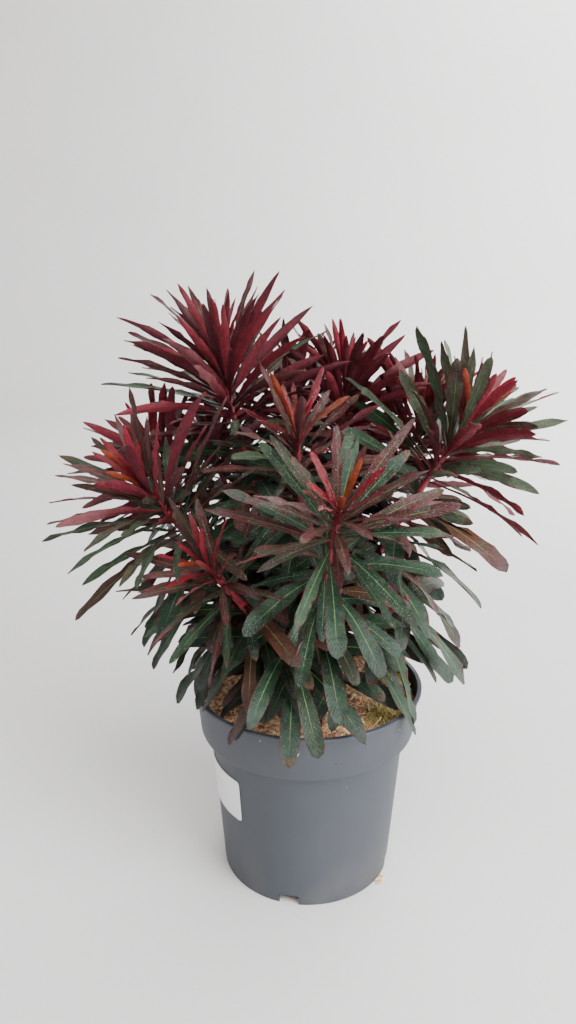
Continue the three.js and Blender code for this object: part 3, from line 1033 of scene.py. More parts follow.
class BladeReader:
    """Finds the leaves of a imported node: each ends in a tip that joins three corners of a ring."""

    RING_FULLNESS = (0.84, 0.92)
    SEAT = 0.0012
    SINK = 0.35

    def __init__(self, node: bpy.types.Object) -> None:
        """Merges a copy of the node's mesh and lists each point's neighbours.

        Args:
            node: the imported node.
        """
        builder = bmesh.new()
        builder.from_mesh(node.data)
        bmesh.ops.remove_doubles(builder, verts=builder.verts, dist=2e-6)
        builder.verts.ensure_lookup_table()
        self.points = [v.co.copy() for v in builder.verts]
        self.near = [{e.other_vert(v).index for e in v.link_edges} for v in builder.verts]
        builder.free()

    def blades(self) -> list[Blade]:
        """All the leaves of the node."""
        found = (self._read(i) for i in range(len(self.points)) if self._is_tip(i))
        return [blade for blade in found if blade is not None]

    def _is_tip(self, i: int) -> bool:
        """Whether a point joins three corners that all join each other."""
        ring = self.near[i]
        return len(ring) == 3 and all(b in self.near[a] for a in ring for b in ring if a != b)

    def _read(self, tip: int) -> Blade | None:
        """One leaf from its tip.

        Args:
            tip: the tip's number.

        Returns:
            The leaf, or None where the rings aren't those of a leaf.
        """
        outer = self.near[tip]
        inner = set().union(*(self.near[i] for i in outer)) - outer - {tip}
        if len(inner) != 3:
            return None
        root = set().union(*(self.near[i] for i in inner)) - inner - outer
        if not root:
            return None
        rings = [self._ring(sorted(inner)), self._ring(sorted(outer))]
        start = sum((self.points[i] for i in root), Vector()) / len(root)
        end = self.points[tip]
        start = start - (rings[0][0] - start).normalized() * self.SEAT
        widths = [ring[2] / fullness for ring, fullness in zip(rings, self.RING_FULLNESS)]
        faces = [rings[0][1], rings[0][1], rings[1][1], rings[1][1]]
        return Blade([start, rings[0][0], rings[1][0], end], faces, sum(widths) / 2)

    def _ring(self, ring: list[int]) -> tuple[Vector, Vector, float]:
        """Middle, face direction and half width of a ring of two edges and a keel.

        Args:
            ring: its three corners.

        Returns:
            The middle of the blade, the unit vector out of its upper face, and half its width.
        """
        corners = [self.points[i] for i in ring]
        pairs = [(0, 1, 2), (0, 2, 1), (1, 2, 0)]
        a, b, k = max(pairs, key=lambda p: (corners[p[0]] - corners[p[1]]).length)
        middle = (corners[a] + corners[b]) / 2
        lift = middle - corners[k]
        return middle - lift * self.SINK, lift.normalized(), (corners[a] - corners[b]).length / 2


@dataclass
class BladeShape:
    """Sizes of the leaf form that is laid along every spine."""

    around: int = 8
    stations: int = 12
    slim: float = 1.0
    base_power: float = 1.0
    thickness: float = 0.00085
    channel: float = 0.26
    wave: float = 0.0012
    waves: float = 2.6
    ragged: float = 0.30
    twist: float = 0.55
    material: Material | None = None

    def tree(self) -> Geometry:
        """The tree that turns spines into leaves.

        Returns:
            The tree.
        """
        g = Geometry("leaf_blades", Around=self.around, Stations=self.stations,
                     Slim=self.slim, Thickness=self.thickness, Channel=self.channel, Wave=self.wave,
                     Waves=self.waves, Ragged=self.ragged, Twist=self.twist,
                     Material=self.material)
        curve = self._spines(g)
        count = g.node("GeometryNodeAttributeDomainSize", {"component": "CURVE"},
                       {"Geometry": curve}, "Spline Count")
        points = g.node("GeometryNodePoints", {}, {"Count": count})
        points = g.store(points, Field.INDEX, g.node("GeometryNodeInputIndex", {}, {}), "INT")
        blades = g.realize(g.copies(points, self._unit(g)))
        return g.close(self._bend(g, blades, curve), self._crease)

    @staticmethod
    def _spines(g: Geometry) -> Sock:
        """The spines as smooth curves."""
        curve = g.node("GeometryNodeCurveSplineType", {"spline_type": "CATMULL_ROM"},
                       {"Curve": g.curve()})
        return g.node("GeometryNodeSetSplineResolution", {}, {"Geometry": curve, "Resolution": 8})

    @staticmethod
    def _unit(g: Geometry) -> Sock:
        """A closed upright tube whose points know their place along and across a leaf.

        Args:
            g: the tree.

        Returns:
            The tube.
        """
        tube = g.solid("Cylinder", Vertices=g.input("Around"), Side_Segments=g.input("Stations"),
                       Radius=1.0, Depth=1.0)
        x, y, z = g.position().parts()
        rise = (z + 0.5).clamp()
        tube = g.store(tube, Field.ALONG, 1 - (1 - rise) ** 1.35)
        tube = g.store(tube, Field.ACROSS, g.math("ARCSINE", x.clamp(-1, 1)) / (math.pi / 2))
        return g.store(tube, Field.SIDE, 0.5 - (y * 4.0).clamp(-1, 1) * 0.5)

    @staticmethod
    def _sample(g: Geometry, curve: Sock, along: Sock, name: Field) -> Sock:
        """The vector that a leaf's own spine carries at a place along it."""
        return g.node("GeometryNodeSampleCurve", {"data_type": VECTOR, "mode": "FACTOR"},
                      {"Curves": curve, "Value": g.named(name, VECTOR), "Factor": along,
                       "Curve Index": g.named(Field.INDEX, "INT")}, "Value")

    def _bend(self, g: Geometry, blades: Sock, curve: Sock) -> Sock:
        """Lays the tubes along their spines and gives them the leaf's form.

        Args:
            g: the tree.
            blades: the tubes.
            curve: the spines.

        Returns:
            The leaves.
        """
        along, across, side = (g.named(f) for f in (Field.ALONG, Field.ACROSS, Field.SIDE))
        face, traits, tints = (self._sample(g, curve, along, name)
                               for name in (Field.FACE, Field.TRAITS, Field.TINTS))
        middle, heading = face.beside("Position"), face.beside("Tangent")
        half, youth, seed = traits.parts()
        flush, dew, blunt = tints.parts()
        right = g.vector_math("NORMALIZE", g.vector_math("CROSS_PRODUCT", face, heading))
        up = g.vector_math("CROSS_PRODUCT", heading, right)
        turn = (seed - 0.5) * 2.0 * g.input("Twist") * along ** 1.5
        tilted = right * turn.cos() + up * turn.sin()
        raised = up * turn.cos() - right * turn.sin()
        ragged = g.node("ShaderNodeTexNoise", {}, {
            "Vector": g.vector(along * 7.0, seed * 90.0, g.math("SIGN", across) * 3.0),
            "Scale": 1.0, "Detail": 2.0}) - 0.5
        width = self._width(g, along, half, blunt, ragged)
        ripple = (along * g.input("Waves") * (2 * math.pi) + seed * 40.0 + across * 1.3).sin() * 0.7
        grown = along.ramp(0.06, 0.34) * (1 - along.ramp(0.90, 1.0) * 0.5)
        wave = (ripple + ragged * 3.4) * across.abs() ** 2.0 * grown * g.input("Wave")
        wave = wave * (half / 0.006)
        lift = across.abs() ** 1.4 * width * g.input("Channel") * (1.3 - seed * 0.9)
        lens = (1 - across.abs() ** 2.0).clamp()
        body = (0.5 - side) * g.input("Thickness") * (lens + 0.40 * (1 - lens))
        keel = side.ramp(0.6, 1.0) * (1 - (across.abs() * 2.2).clamp()) * (1 - along * 0.8)
        height = wave + lift + body - keel * (half * 0.09)
        moved = g.move(blades, Position=middle + tilted * (across * width) + raised * height)
        for name, value in ((Field.YOUTH, youth), (Field.SEED, seed), (Field.FLUSH, flush),
                            (Field.DEW, dew)):
            moved = g.store(moved, name, value)
        return moved

    def _width(self, g: Geometry, along: Sock, half: Sock, blunt: Sock, ragged: Sock) -> Sock:
        """Half the width of a leaf, widest where its foot's and its tip's curves meet.

        Args:
            g: the tree.
            along: place along the leaf.
            half: half its greatest width.
            blunt: power of the curve at its tip, smaller for a blunter one.
            ragged: noise from -0.5 to 0.5 along its margin.

        Returns:
            The half width there.
        """
        rest = (1 - along).clamp()
        widest = self.base_power / (blunt + self.base_power)
        outline = (along / widest) ** self.base_power * (rest / (1 - widest)) ** blunt
        outline = outline * (1 + ragged * g.input("Ragged"))
        return half * g.input("Slim") * g.math("MAXIMUM", outline, rest ** 0.5 * 0.17)

    @staticmethod
    def _crease(g: Geometry, blades: Sock) -> Sock:
        """Keeps the margin between the upper face and the underside sharp."""
        return g.node("GeometryNodeSetShadeSmooth", {"domain": "EDGE"},
                      {"Geometry": blades, "Selection": g.named(Field.ACROSS).abs() > 0.98,
                       "Shade Smooth": False})


@dataclass
class Shoot:
    """One stem with its leaves.

    The foot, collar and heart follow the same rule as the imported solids. Angles are in degrees,
    and width and green are how broad and how green the crown's leaves are, 1 being the most.
    """

    FOOT_HEIGHT = 0.134
    COLLAR_RISE = 0.024

    name: str
    azimuth: float
    reach: float
    height: float
    lean: float
    leaf: float
    extra_crown: int
    extra_skirt: int
    width: float = 1.0
    green: float = 0.0

    @property
    def has_crown(self) -> bool:
        """Whether the shoot ends in a crown."""
        return self.extra_crown > 0

    def foot(self) -> Vector:
        """Where the stem starts, inside the soil."""
        spread = 0.008 + 0.13 * self.reach + 0.07 * (0.400 - self.height)
        return round_axis(self.azimuth, spread, self.FOOT_HEIGHT)

    def path(self, count: int = 28) -> list[Vector]:
        """Points of the stem's axis from its foot to its heart.

        Args:
            count: number of points above the collar.

        Returns:
            The points.
        """
        foot = self.foot()
        collar = foot + UP * self.COLLAR_RISE
        heart = round_axis(self.azimuth, self.reach, self.height)
        rise = self.height - collar.z
        axis = round_axis(self.azimuth, math.sin(math.radians(self.lean)),
                          math.cos(math.radians(self.lean)))
        guide = [collar, collar + UP * (0.42 * rise), heart - axis * (0.36 * rise), heart]
        return [foot, *(self._bezier(guide, i / (count - 1)) for i in range(count))]

    @staticmethod
    def _bezier(guide: list[Vector], t: float) -> Vector:
        """A point of a cubic curve."""
        s = 1 - t
        return (guide[0] * s ** 3 + guide[1] * (3 * s * s * t) + guide[2] * (3 * s * t * t)
                + guide[3] * t ** 3)

    def leaf_nodes(self) -> list[tuple[str, bool]]:
        """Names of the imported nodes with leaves, and whether each is the crown."""
        nodes = [(f"{self.name}_leafy_stem", False)]
        return nodes + [(f"{self.name}_crown", True)] if self.has_crown else nodes


@dataclass(frozen=True)
class LeafForm:
    """How the leaves of a zone stand and how they are shaped."""

    slender: float
    low_angle: float
    top_angle: float
    arch: float
    droop: float
    top_length: float
    young: float


class LeafFiller:
    """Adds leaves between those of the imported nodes, each where it has most room of a few turns.

    Depths and gaps are in metres, but the crown's depth is a share of its leaf's length.
    """

    CROWN = LeafForm(0.115, 80, 12, 14, 0.14, 0.45, 3.0)
    SKIRT = LeafForm(0.165, 84, 62, 12, 0.80, 0.9, 1.0)
    SHARES = (0.0, 0.22, 0.48, 0.75, 1.0)
    LIGHT = Vector((0, -0.8, 0.6))
    MOST_TURN = math.radians(115)
    TURNS = (0, -14, 14, -28, 28)
    LIFTS = (0, -9, 9, 18)
    ROOM = 0.0070
    STRAY_COST = 0.00002
    CROWN_DEPTH = 0.54
    CROWN_FILL = 0.96
    SKIRT_LEAF = 0.90
    HEART_GAP = 0.002
    CROWN_GAP = 0.012
    TIP_GAP = 0.004
    SKIRT_DEPTH = 0.105
    BARE_FOOT = 0.054

    def __init__(self, blades: Iterable[Blade]) -> None:
        """Lists where leaves are already."""
        self.taken = [p for blade in blades for p in self._samples(blade.spine)]
        self._index()

    def fill(self, shoot: Shoot, is_crown: bool) -> list[Blade]:
        """The leaves that are added to one zone of a shoot.

        Args:
            shoot: the shoot.
            is_crown: whether the zone is its crown.

        Returns:
            The leaves.
        """
        form = self.CROWN if is_crown else self.SKIRT
        count = shoot.extra_crown if is_crown else shoot.extra_skirt
        path = shoot.path(72)
        total = self._lengths(path)[-1]
        crown_zone = self.CROWN_DEPTH * shoot.leaf if shoot.has_crown else 0.0
        if is_crown:
            top, zone = total - self.HEART_GAP, crown_zone * self.CROWN_FILL
        else:
            top = total - crown_zone - (self.CROWN_GAP if shoot.has_crown else self.TIP_GAP)
            zone = min(self.SKIRT_DEPTH, top - self.BARE_FOOT)
        chance = random.Random(f"{shoot.name}{is_crown}")
        start = chance.uniform(0, 2 * math.pi)
        added = []
        for i in range(count):
            rank = (i + 0.5) / count
            spot = self._at(path, top - zone * (1 - rank))
            size = shoot.leaf * (1.0 if is_crown else self.SKIRT_LEAF)
            blade = self._best(spot, form, rank, start + GOLDEN_ANGLE * i, size, chance)
            self.taken += self._samples(blade.spine)
            self._index()
            added.append(blade)
        return added

    def _index(self) -> None:
        """Sorts the taken places for quick searches."""
        self.tree = KDTree(len(self.taken))
        for i, point in enumerate(self.taken):
            self.tree.insert(point, i)
        self.tree.balance()

    @staticmethod
    def _samples(spine: list[Vector]) -> list[Vector]:
        """Places along the outer part of a spine."""
        return [a.lerp(b, t) for a, b in zip(spine[1:], spine[2:]) for t in (0.0, 0.33, 0.67, 1.0)]

    @staticmethod
    def _lengths(path: list[Vector]) -> list[float]:
        """Length of a path up to each of its points.

        Args:
            path: points of the path.

        Returns:
            The lengths.
        """
        made = [0.0]
        for a, b in zip(path, path[1:]):
            made.append(made[-1] + (b - a).length)
        return made

    def _at(self, path: list[Vector], distance: float) -> tuple[Vector, Vector]:
        """Place and direction of a path at a distance from its start.

        Args:
            path: points of the path.
            distance: metres from its start.

        Returns:
            The place and the unit vector along the path there.
        """
        lengths = self._lengths(path)
        i = next((k for k in range(1, len(lengths)) if lengths[k] >= distance), len(path) - 1)
        share = (distance - lengths[i - 1]) / (lengths[i] - lengths[i - 1])
        return path[i - 1].lerp(path[i], min(share, 1.0)), (path[i] - path[i - 1]).normalized()

    def _best(self, spot: tuple[Vector, Vector], form: LeafForm, rank: float, azimuth: float,
              length: float, chance: random.Random) -> Blade:
        """The leaf that stands clearest of its neighbours among a few turns and lifts.

        Args:
            spot: where it leaves the stem and the stem's direction there.
            form: the form of its zone.
            rank: 0 at the foot of the zone, 1 at its top.
            azimuth: its direction round the stem.
            length: length of a full-grown leaf.
            chance: the seeded source of chance.

        Returns:
            The leaf.
        """
        grown = 1 + (form.top_length - 1) * rank ** form.young
        length *= grown * chance.uniform(0.80, 1.04)
        lean = form.low_angle + (form.top_angle - form.low_angle) * rank ** 0.9
        traits = (form.arch * chance.uniform(0.5, 1.5), form.droop * chance.uniform(0.7, 1.2)
                  * (1.25 - 0.7 * rank), math.radians(chance.uniform(-26, 26)))
        half = length * form.slender / 2 * chance.uniform(0.84, 1.22)
        options = []
        for turn, lift in ((turn, lift) for turn in self.TURNS for lift in self.LIFTS):
            blade = self._blade(spot, azimuth + math.radians(turn), lean + lift, length, half,
                                traits)
            room = min(self.tree.find(p)[2] for p in self._samples(blade.spine))
            cost = self.STRAY_COST * (abs(turn) + abs(lift))
            options.append((min(room, self.ROOM) - cost, blade))
        return max(options, key=lambda option: option[0])[1]

    def _blade(self, spot: tuple[Vector, Vector], azimuth: float, lean: float, length: float,
               half: float, traits: tuple[float, float, float]) -> Blade:
        """A leaf from its place, direction and sizes.

        Args:
            spot: where it leaves the stem and the stem's direction there.
            azimuth: its direction round the stem.
            lean: its angle from the stem, in degrees.
            length: its length.
            half: half its width.
            traits: its arch in degrees, its droop and its own twist in radians.

        Returns:
            The leaf.
        """
        point, axis = spot[0].copy(), spot[1]
        arch, droop, twist = traits
        across = axis.cross(Vector((1, 0, 0))).normalized()
        outward = Matrix.Rotation(azimuth, 3, axis) @ across
        side = axis.cross(outward).normalized()
        start = Matrix.Rotation(math.radians(lean), 3, side) @ axis
        turn = twist + self._light_turn(start, side.cross(start))
        spine, faces, before = [], [], 0.0
        for share in self.SHARES:
            middle = (share + before) / 2
            heading = Matrix.Rotation(math.radians(arch * middle), 3, side) @ start
            heading = (heading - UP * (droop * middle ** 1.5)).normalized()
            point = point + heading * (length * (share - before))
            width = (side - heading * side.dot(heading)).normalized()
            face = heading.cross(width)
            spine.append(point.copy())
            faces.append(Matrix.Rotation(turn * min(1.0, 1.6 * share), 3, heading) @ face)
            before = share
        return Blade(spine, faces, half)

    def _light_turn(self, heading: Vector, face: Vector) -> float:
        """How far the underside of a leaf is turned towards the light.

        Args:
            heading: direction of the leaf.
            face: direction out of its upper face.

        Returns:
            The turn in radians.
        """
        lit = (self.LIGHT - heading * self.LIGHT.dot(heading)).normalized()
        turn = math.atan2(face.cross(lit).dot(heading), face.dot(lit))
        return 0.55 * turn if abs(turn) < self.MOST_TURN else 0.0


@dataclass
class Plant:
    """All the shoots: stems, leaves and the dew on them.

    The joint is the share of a stem below its crown. Reaches and lengths are in metres, and shady
    and dewy are heights between which leaves are redder and wetter.
    """

    foot_radius: float = 0.0036
    joint_radius: float = 0.0029
    heart_radius: float = 0.0017
    shoots: list[Shoot] = field(default_factory=list)
    leaves: list[bpy.types.Object] = field(default_factory=list)
    stems: list[bpy.types.Object] = field(default_factory=list)

    JOINT = 0.7
    HEART_REACH, RED_REACH, DEW_REACH = 0.0120, 0.034, 0.15
    LONGEST_LEAF, YOUNG_LEAF = 0.102, 0.062
    SHADY, DEWY = (0.22, 0.33), (0.25, 0.42)
    # Name, azimuth, reach and height in mm, lean, leaf length in mm, leaves added to the crown,
    # if there is one, and below it, width and green.
    SHOOTS = (
        ("top_left", 163, 70, 432, 8, 102, 62, 26, 0.70, 0.08),
        ("right", -2, 121, 386, 31, 99, 42, 17, 0.96, 0.72),
        ("front", -83, 133, 354, 39, 82, 24, 10, 0.90, 0.10),
        ("left_front", -151, 134, 352, 34, 92, 38, 22, 0.82, 0.25),
        ("top_middle", 58, 58, 412, 8, 86, 42, 24, 0.84, 0.12),
        ("centre", -101, 50, 388, 10, 76, 24, 22, 0.88, 0.25),
        ("left_back", 165, 130, 356, 32, 82, 34, 20, 0.86, 0.25),
        ("low_left", -124, 126, 306, 40, 78, 26, 16, 0.84, 0.30),
        ("right_back", 30, 112, 384, 22, 86, 38, 20, 0.92, 0.20),
        ("top_back", 101, 78, 402, 14, 88, 34, 18, 0.86, 0.30),
        ("back_left", 135, 122, 350, 32, 88, 26, 14, 0.94, 0.30),
        ("back", 76, 122, 352, 34, 90, 26, 14, 0.94, 0.40),
        ("far_back", 106, 132, 296, 46, 86, 20, 8, 0.94, 0.40),
        ("back_right", 50, 134, 324, 42, 86, 24, 12, 0.98, 0.50),
        ("low_front", -103, 76, 240, 40, 92, 0, 3),
        ("low_right", -38, 92, 264, 45, 92, 0, 1),
        ("foot_left", -170, 106, 286, 46, 86, 0, 14),
        ("foot_back", 10, 92, 254, 46, 90, 0, 8),
    )

    def build(self, nodes: dict[str, bpy.types.Object]) -> None:
        """Builds every shoot.

        Args:
            nodes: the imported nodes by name.
        """
        self.shoots = [Shoot(name, azimuth, reach / 1000, height / 1000, lean, leaf / 1000, *rest)
                       for name, azimuth, reach, height, lean, leaf, *rest in self.SHOOTS]
        red = LeafFinish("crown_leaf_skin").make()
        # Its bloom and warm underside colours also carry the painted light on the plant's right-hand
        # side.
        green = LeafFinish("skirt_leaf_skin", under=(0.026, 0.026, 0.014), gloss=0.44,
                           bloom_and_painted_light=(0.034, 0.056, 0.038), flushed=(0.062, 0.018, 0.011),
                           under_dark=(0.038, 0.009, 0.010), under_warm_and_painted_light=(0.060, 0.016, 0.015),
                           under_worn=(0.055, 0.034, 0.030), tip=(0.062, 0.036, 0.050),
                           upper_pale=(0.017, 0.041, 0.020)).make()
        bark = StemFinish().make()
        crown_tree = BladeShape(material=red, stations=14, waves=3.4, ragged=0.50, wave=0.0019,
                                twist=0.85).tree()
        skirt_tree = BladeShape(material=green, waves=2.2, channel=0.20, ragged=0.32,
                                base_power=1.15, wave=0.0014).tree()
        stem_tree = self._stem_tree(bark)
        read = {node: BladeReader(nodes[node]).blades()
                for shoot in self.shoots for node, _ in shoot.leaf_nodes()}
        filler = LeafFiller(blade for blades in read.values() for blade in blades)
        total = 0
        for shoot in self.shoots:
            self._grow_stem(shoot, stem_tree)
            for node, is_crown in shoot.leaf_nodes():
                blades = read[node] + filler.fill(shoot, is_crown)
                self._grow_leaves(shoot, node, blades, is_crown,
                                  crown_tree if is_crown else skirt_tree)
                total += len(blades)
        LOG.info("leaves: %d, of them %d in the packed nodes", total,
                 sum(len(blades) for blades in read.values()))
        Dew().build(self.leaves)
        StemHair().build(self.stems)

    def _grow_leaves(self, shoot: Shoot, node: str, blades: list[Blade], is_crown: bool,
                     tree: Geometry) -> None:
        """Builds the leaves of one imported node.

        Args:
            shoot: the shoot.
            node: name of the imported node.
            blades: its leaves.
            is_crown: whether they are those of the crown.
            tree: the tree that lays leaves along spines.
        """
        chance = random.Random(node)
        points, edges, faces, traits, tints = [], [], [], [], []
        heart = shoot.path()[-1]
        for blade in blades:
            first, count = len(points), len(blade.spine)
            youth = self._youth(blade, heart, shoot.leaf) if is_crown else 0.0
            if chance.random() < (shoot.green * (1 - youth) if is_crown else 0.85):
                blade.show_upper(Vector((-blade.spine[0].x, -0.60, 0.10)))
            points += blade.spine
            edges += [(first + i, first + i + 1) for i in range(count - 1)]
            faces += blade.faces
            flush = self._flush(blade, heart, youth, (1 - shoot.green) * is_crown, chance)
            half = blade.half_width * (shoot.width if is_crown else 1.0)
            traits += [(half, youth, chance.random())] * count
            pointed = 0.36 + 0.9 * (1.04 - shoot.width) if is_crown else 0.40
            blunt = pointed + chance.uniform(-0.06, 0.20)
            tints += [(flush, self._dew(blade, chance), blunt)] * count
        mesh = mesh_of(node, points, edges=edges)
        add_values(mesh, Field.FACE, faces)
        add_values(mesh, Field.TRAITS, traits)
        add_values(mesh, Field.TINTS, tints)
        piece = tree.grow(f"{shoot.name}_{'crown' if is_crown else 'skirt'}_leaves", mesh)
        dress(piece, Slot.LEAF_RED if is_crown else Slot.LEAF_GREEN, [node])
        self.leaves.append(piece)

    def _youth(self, blade: Blade, heart: Vector, grown: float) -> float:
        """How young a crown leaf is: 1 at the heart, 0 for a full-grown one.

        Args:
            blade: the leaf.
            heart: the shoot's tip.
            grown: length of a full-grown leaf.

        Returns:
            How young it is.
        """
        reach = self.HEART_REACH + (self.LONGEST_LEAF - grown) * 0.32
        share = 1.15 - (blade.spine[0] - heart).length / reach
        return max(0.0, min(1.0, share)) * (1.0 if blade.length < self.YOUNG_LEAF else 0.45)

    def _flush(self, blade: Blade, heart: Vector, youth: float, red: float,
               chance: random.Random) -> float:
        """How red the upper face of a leaf is.

        Args:
            blade: the leaf.
            heart: the shoot's tip.
            youth: how young the leaf is.
            red: how red its crown is, 0 for a leaf below the crown.
            chance: the seeded source of chance.

        Returns:
            0 for green, 1 for red.
        """
        if red > 0:
            share = 1 - (blade.spine[0] - heart).length / self.RED_REACH
            inner = share * chance.uniform(0.5, 1.6)
            return min(1.0, max(youth, inner * red, 0.0) + chance.random() ** 2 * 1.1 * red)
        low, high = self.SHADY
        inner = max(0.0, 1.0 - abs(blade.middle.x) / 0.11) * (low < blade.middle.z < high)
        return min(1.0, chance.random() ** 6 * 0.8 + inner * max(0.0, chance.random() - 0.80) * 3.2)

    def _dew(self, blade: Blade, chance: random.Random) -> float:
        """How much dew a leaf carries: most on those in the middle of the plant's front.

        Args:
            blade: the leaf.
            chance: the seeded source of chance.

        Returns:
            0 for a dry leaf, 1 for the wettest.
        """
        middle, (low, high) = blade.middle, self.DEWY
        near = math.hypot(middle.x - 0.01, (middle.y + 0.07) * 0.8)
        level = max(0.0, 1.0 - near / self.DEW_REACH) * (1.0 if low < middle.z < high else 0.30)
        return min(1.0, level * 1.5 * chance.uniform(0.20, 1.0) + 0.10 * chance.random())

    @staticmethod
    def _stem_tree(bark: Material) -> Geometry:
        """The tree that sweeps a round section along a stem.

        Args:
            bark: the stem's material.

        Returns:
            The tree.
        """
        g = Geometry("stem_sweep", Sides=12, Material=bark)
        radius = g.named(Field.RADIUS)
        curve = g.node("GeometryNodeSetCurveRadius", {}, {"Curve": g.curve(), "Radius": radius})
        section = g.node("GeometryNodeCurvePrimitiveCircle", {"mode": "RADIUS"},
                         {"Resolution": g.input("Sides"), "Radius": 1.0}, "Curve")
        return g.close(g.node("GeometryNodeCurveToMesh", {}, {
            "Curve": curve, "Profile Curve": section, "Fill Caps": True, "Scale": radius}))

    def _grow_stem(self, shoot: Shoot, tree: Geometry) -> None:
        """Builds one stem with the small swellings where leaves have been.

        Args:
            shoot: the shoot.
            tree: the tree that sweeps the section.
        """
        path = shoot.path(72)
        edges = [(i, i + 1) for i in range(len(path) - 1)]
        shares = [i / (len(path) - 1) for i in range(len(path))]
        mesh = mesh_of(f"{shoot.name}_stem", path, edges=edges)
        add_values(mesh, Field.ALONG, shares)
        add_values(mesh, Field.RADIUS, [self._radius(s) for s in shares])
        piece = tree.grow(f"{shoot.name}_stem", mesh)
        dress(piece, Slot.LEAF_RED, [f"{shoot.name}_leafy_stem"])
        self.stems.append(piece)

    def _radius(self, share: float) -> float:
        """Radius of a stem at a share of its length, with slight swellings.

        Args:
            share: 0 at the foot, 1 at the heart.

        Returns:
            The radius.
        """
        low, high, rise = self.foot_radius, self.joint_radius, share / self.JOINT
        if rise >= 1:
            low, high = self.joint_radius, self.heart_radius
            rise = (share - self.JOINT) / (1 - self.JOINT)
        return (low + (high - low) * rise) * (1 + 0.05 * math.sin(share * 95.0))


@dataclass
class Dew:
    """Drops that stand on the upper faces of the leaves that carry most dew."""

    density: float = 480000.0
    least: float = 0.24
    small: float = 0.00013
    large: float = 0.00036
    least_faces: int = 400

    def build(self, leaves: Sequence[bpy.types.Object]) -> None:
        """Adds a piece of drops for each piece of leaves that carries some.

        Args:
            leaves: the pieces of leaves.
        """
        tree = self._tree(DewFinish().make())
        for piece in leaves:
            drops = tree.grow(piece.name.replace("_leaves", "_dew"), piece.data)
            if len(drops.data.polygons) < self.least_faces:
                bpy.data.objects.remove(drops)
            else:
                dress(drops, Slot.LEAF_GREEN)

    def _tree(self, water: Material) -> Geometry:
        """The tree that sets flat beads on a wet upper face.

        Args:
            water: the drops' material.

        Returns:
            The tree.
        """
        g = Geometry("dew_drops", Density=self.density, Least=self.least, Small=self.small,
                     Large=self.large, Material=water)
        wet = (g.named(Field.DEW) - g.input("Least")).clamp() * (g.named(Field.SIDE) < 0.3)
        bead = g.node("GeometryNodeMeshIcoSphere", {}, {"Radius": 1.0, "Subdivisions": 1}, "Mesh")
        size = g.random(0.0, 1.0, 72) ** 2.5 * (g.input("Large") - g.input("Small"))
        size = size + g.input("Small")
        beads = g.stand(bead, wet * g.input("Density"), g.vector(size, size, size * 0.65), 71)
        return g.close(beads)


@dataclass
class StemHair:
    """Short fine hairs on the stems."""

    density: float = 26000.0
    length: float = 0.0011
    radius: float = 0.00006

    def build(self, stems: Sequence[bpy.types.Object]) -> None:
        """Adds a piece of hairs for each stem.

        Args:
            stems: the stems.
        """
        tree = self._tree(HairFinish().make())
        for piece in stems:
            dress(tree.grow(f"{piece.name}_hairs", piece.data), Slot.LEAF_RED)

    def _tree(self, hair: Material) -> Geometry:
        """The tree that stands three-sided hairs on a stem.

        Args:
            hair: the hairs' material.

        Returns:
            The tree.
        """
        g = Geometry("stem_hairs", Density=self.density, Length=self.length, Radius=self.radius,
                     Material=hair)
        spike = g.solid("Cone", Vertices=3, Side_Segments=1, Radius_Top=0.0, Radius_Bottom=1.0,
                        Depth=1.0)
        spike = g.store(spike, Field.ALONG, g.position().part("Z"))
        long = g.input("Length") * g.random(0.5, 1.3, 82)
        size = g.vector(g.input("Radius"), g.input("Radius"), long)
        return g.close(g.stand(spike, g.input("Density"), size, 81))


# The pot, its label and the soil


@dataclass(frozen=True)
class Cone:
    """A straight stretch of a turned wall, from a radius and height at its foot to its top."""

    foot: tuple[float, float]
    top: tuple[float, float]

    @property
    def slope(self) -> float:
        """How much the wall leans out for each metre of height."""
        return (self.top[0] - self.foot[0]) / (self.top[1] - self.foot[1])

    def radius(self, height: float) -> float:
        """Radius of the wall at a height."""
        return self.foot[0] + self.slope * (height - self.foot[1])


BODY_OUTSIDE = Cone((0.0715, 0.0), (0.0809, 0.122))
BODY_INSIDE = Cone((0.0706, 0.0075), (0.0793, 0.1226))
COLLAR_INSIDE = Cone((0.0879, 0.1312), (0.0913, 0.167))


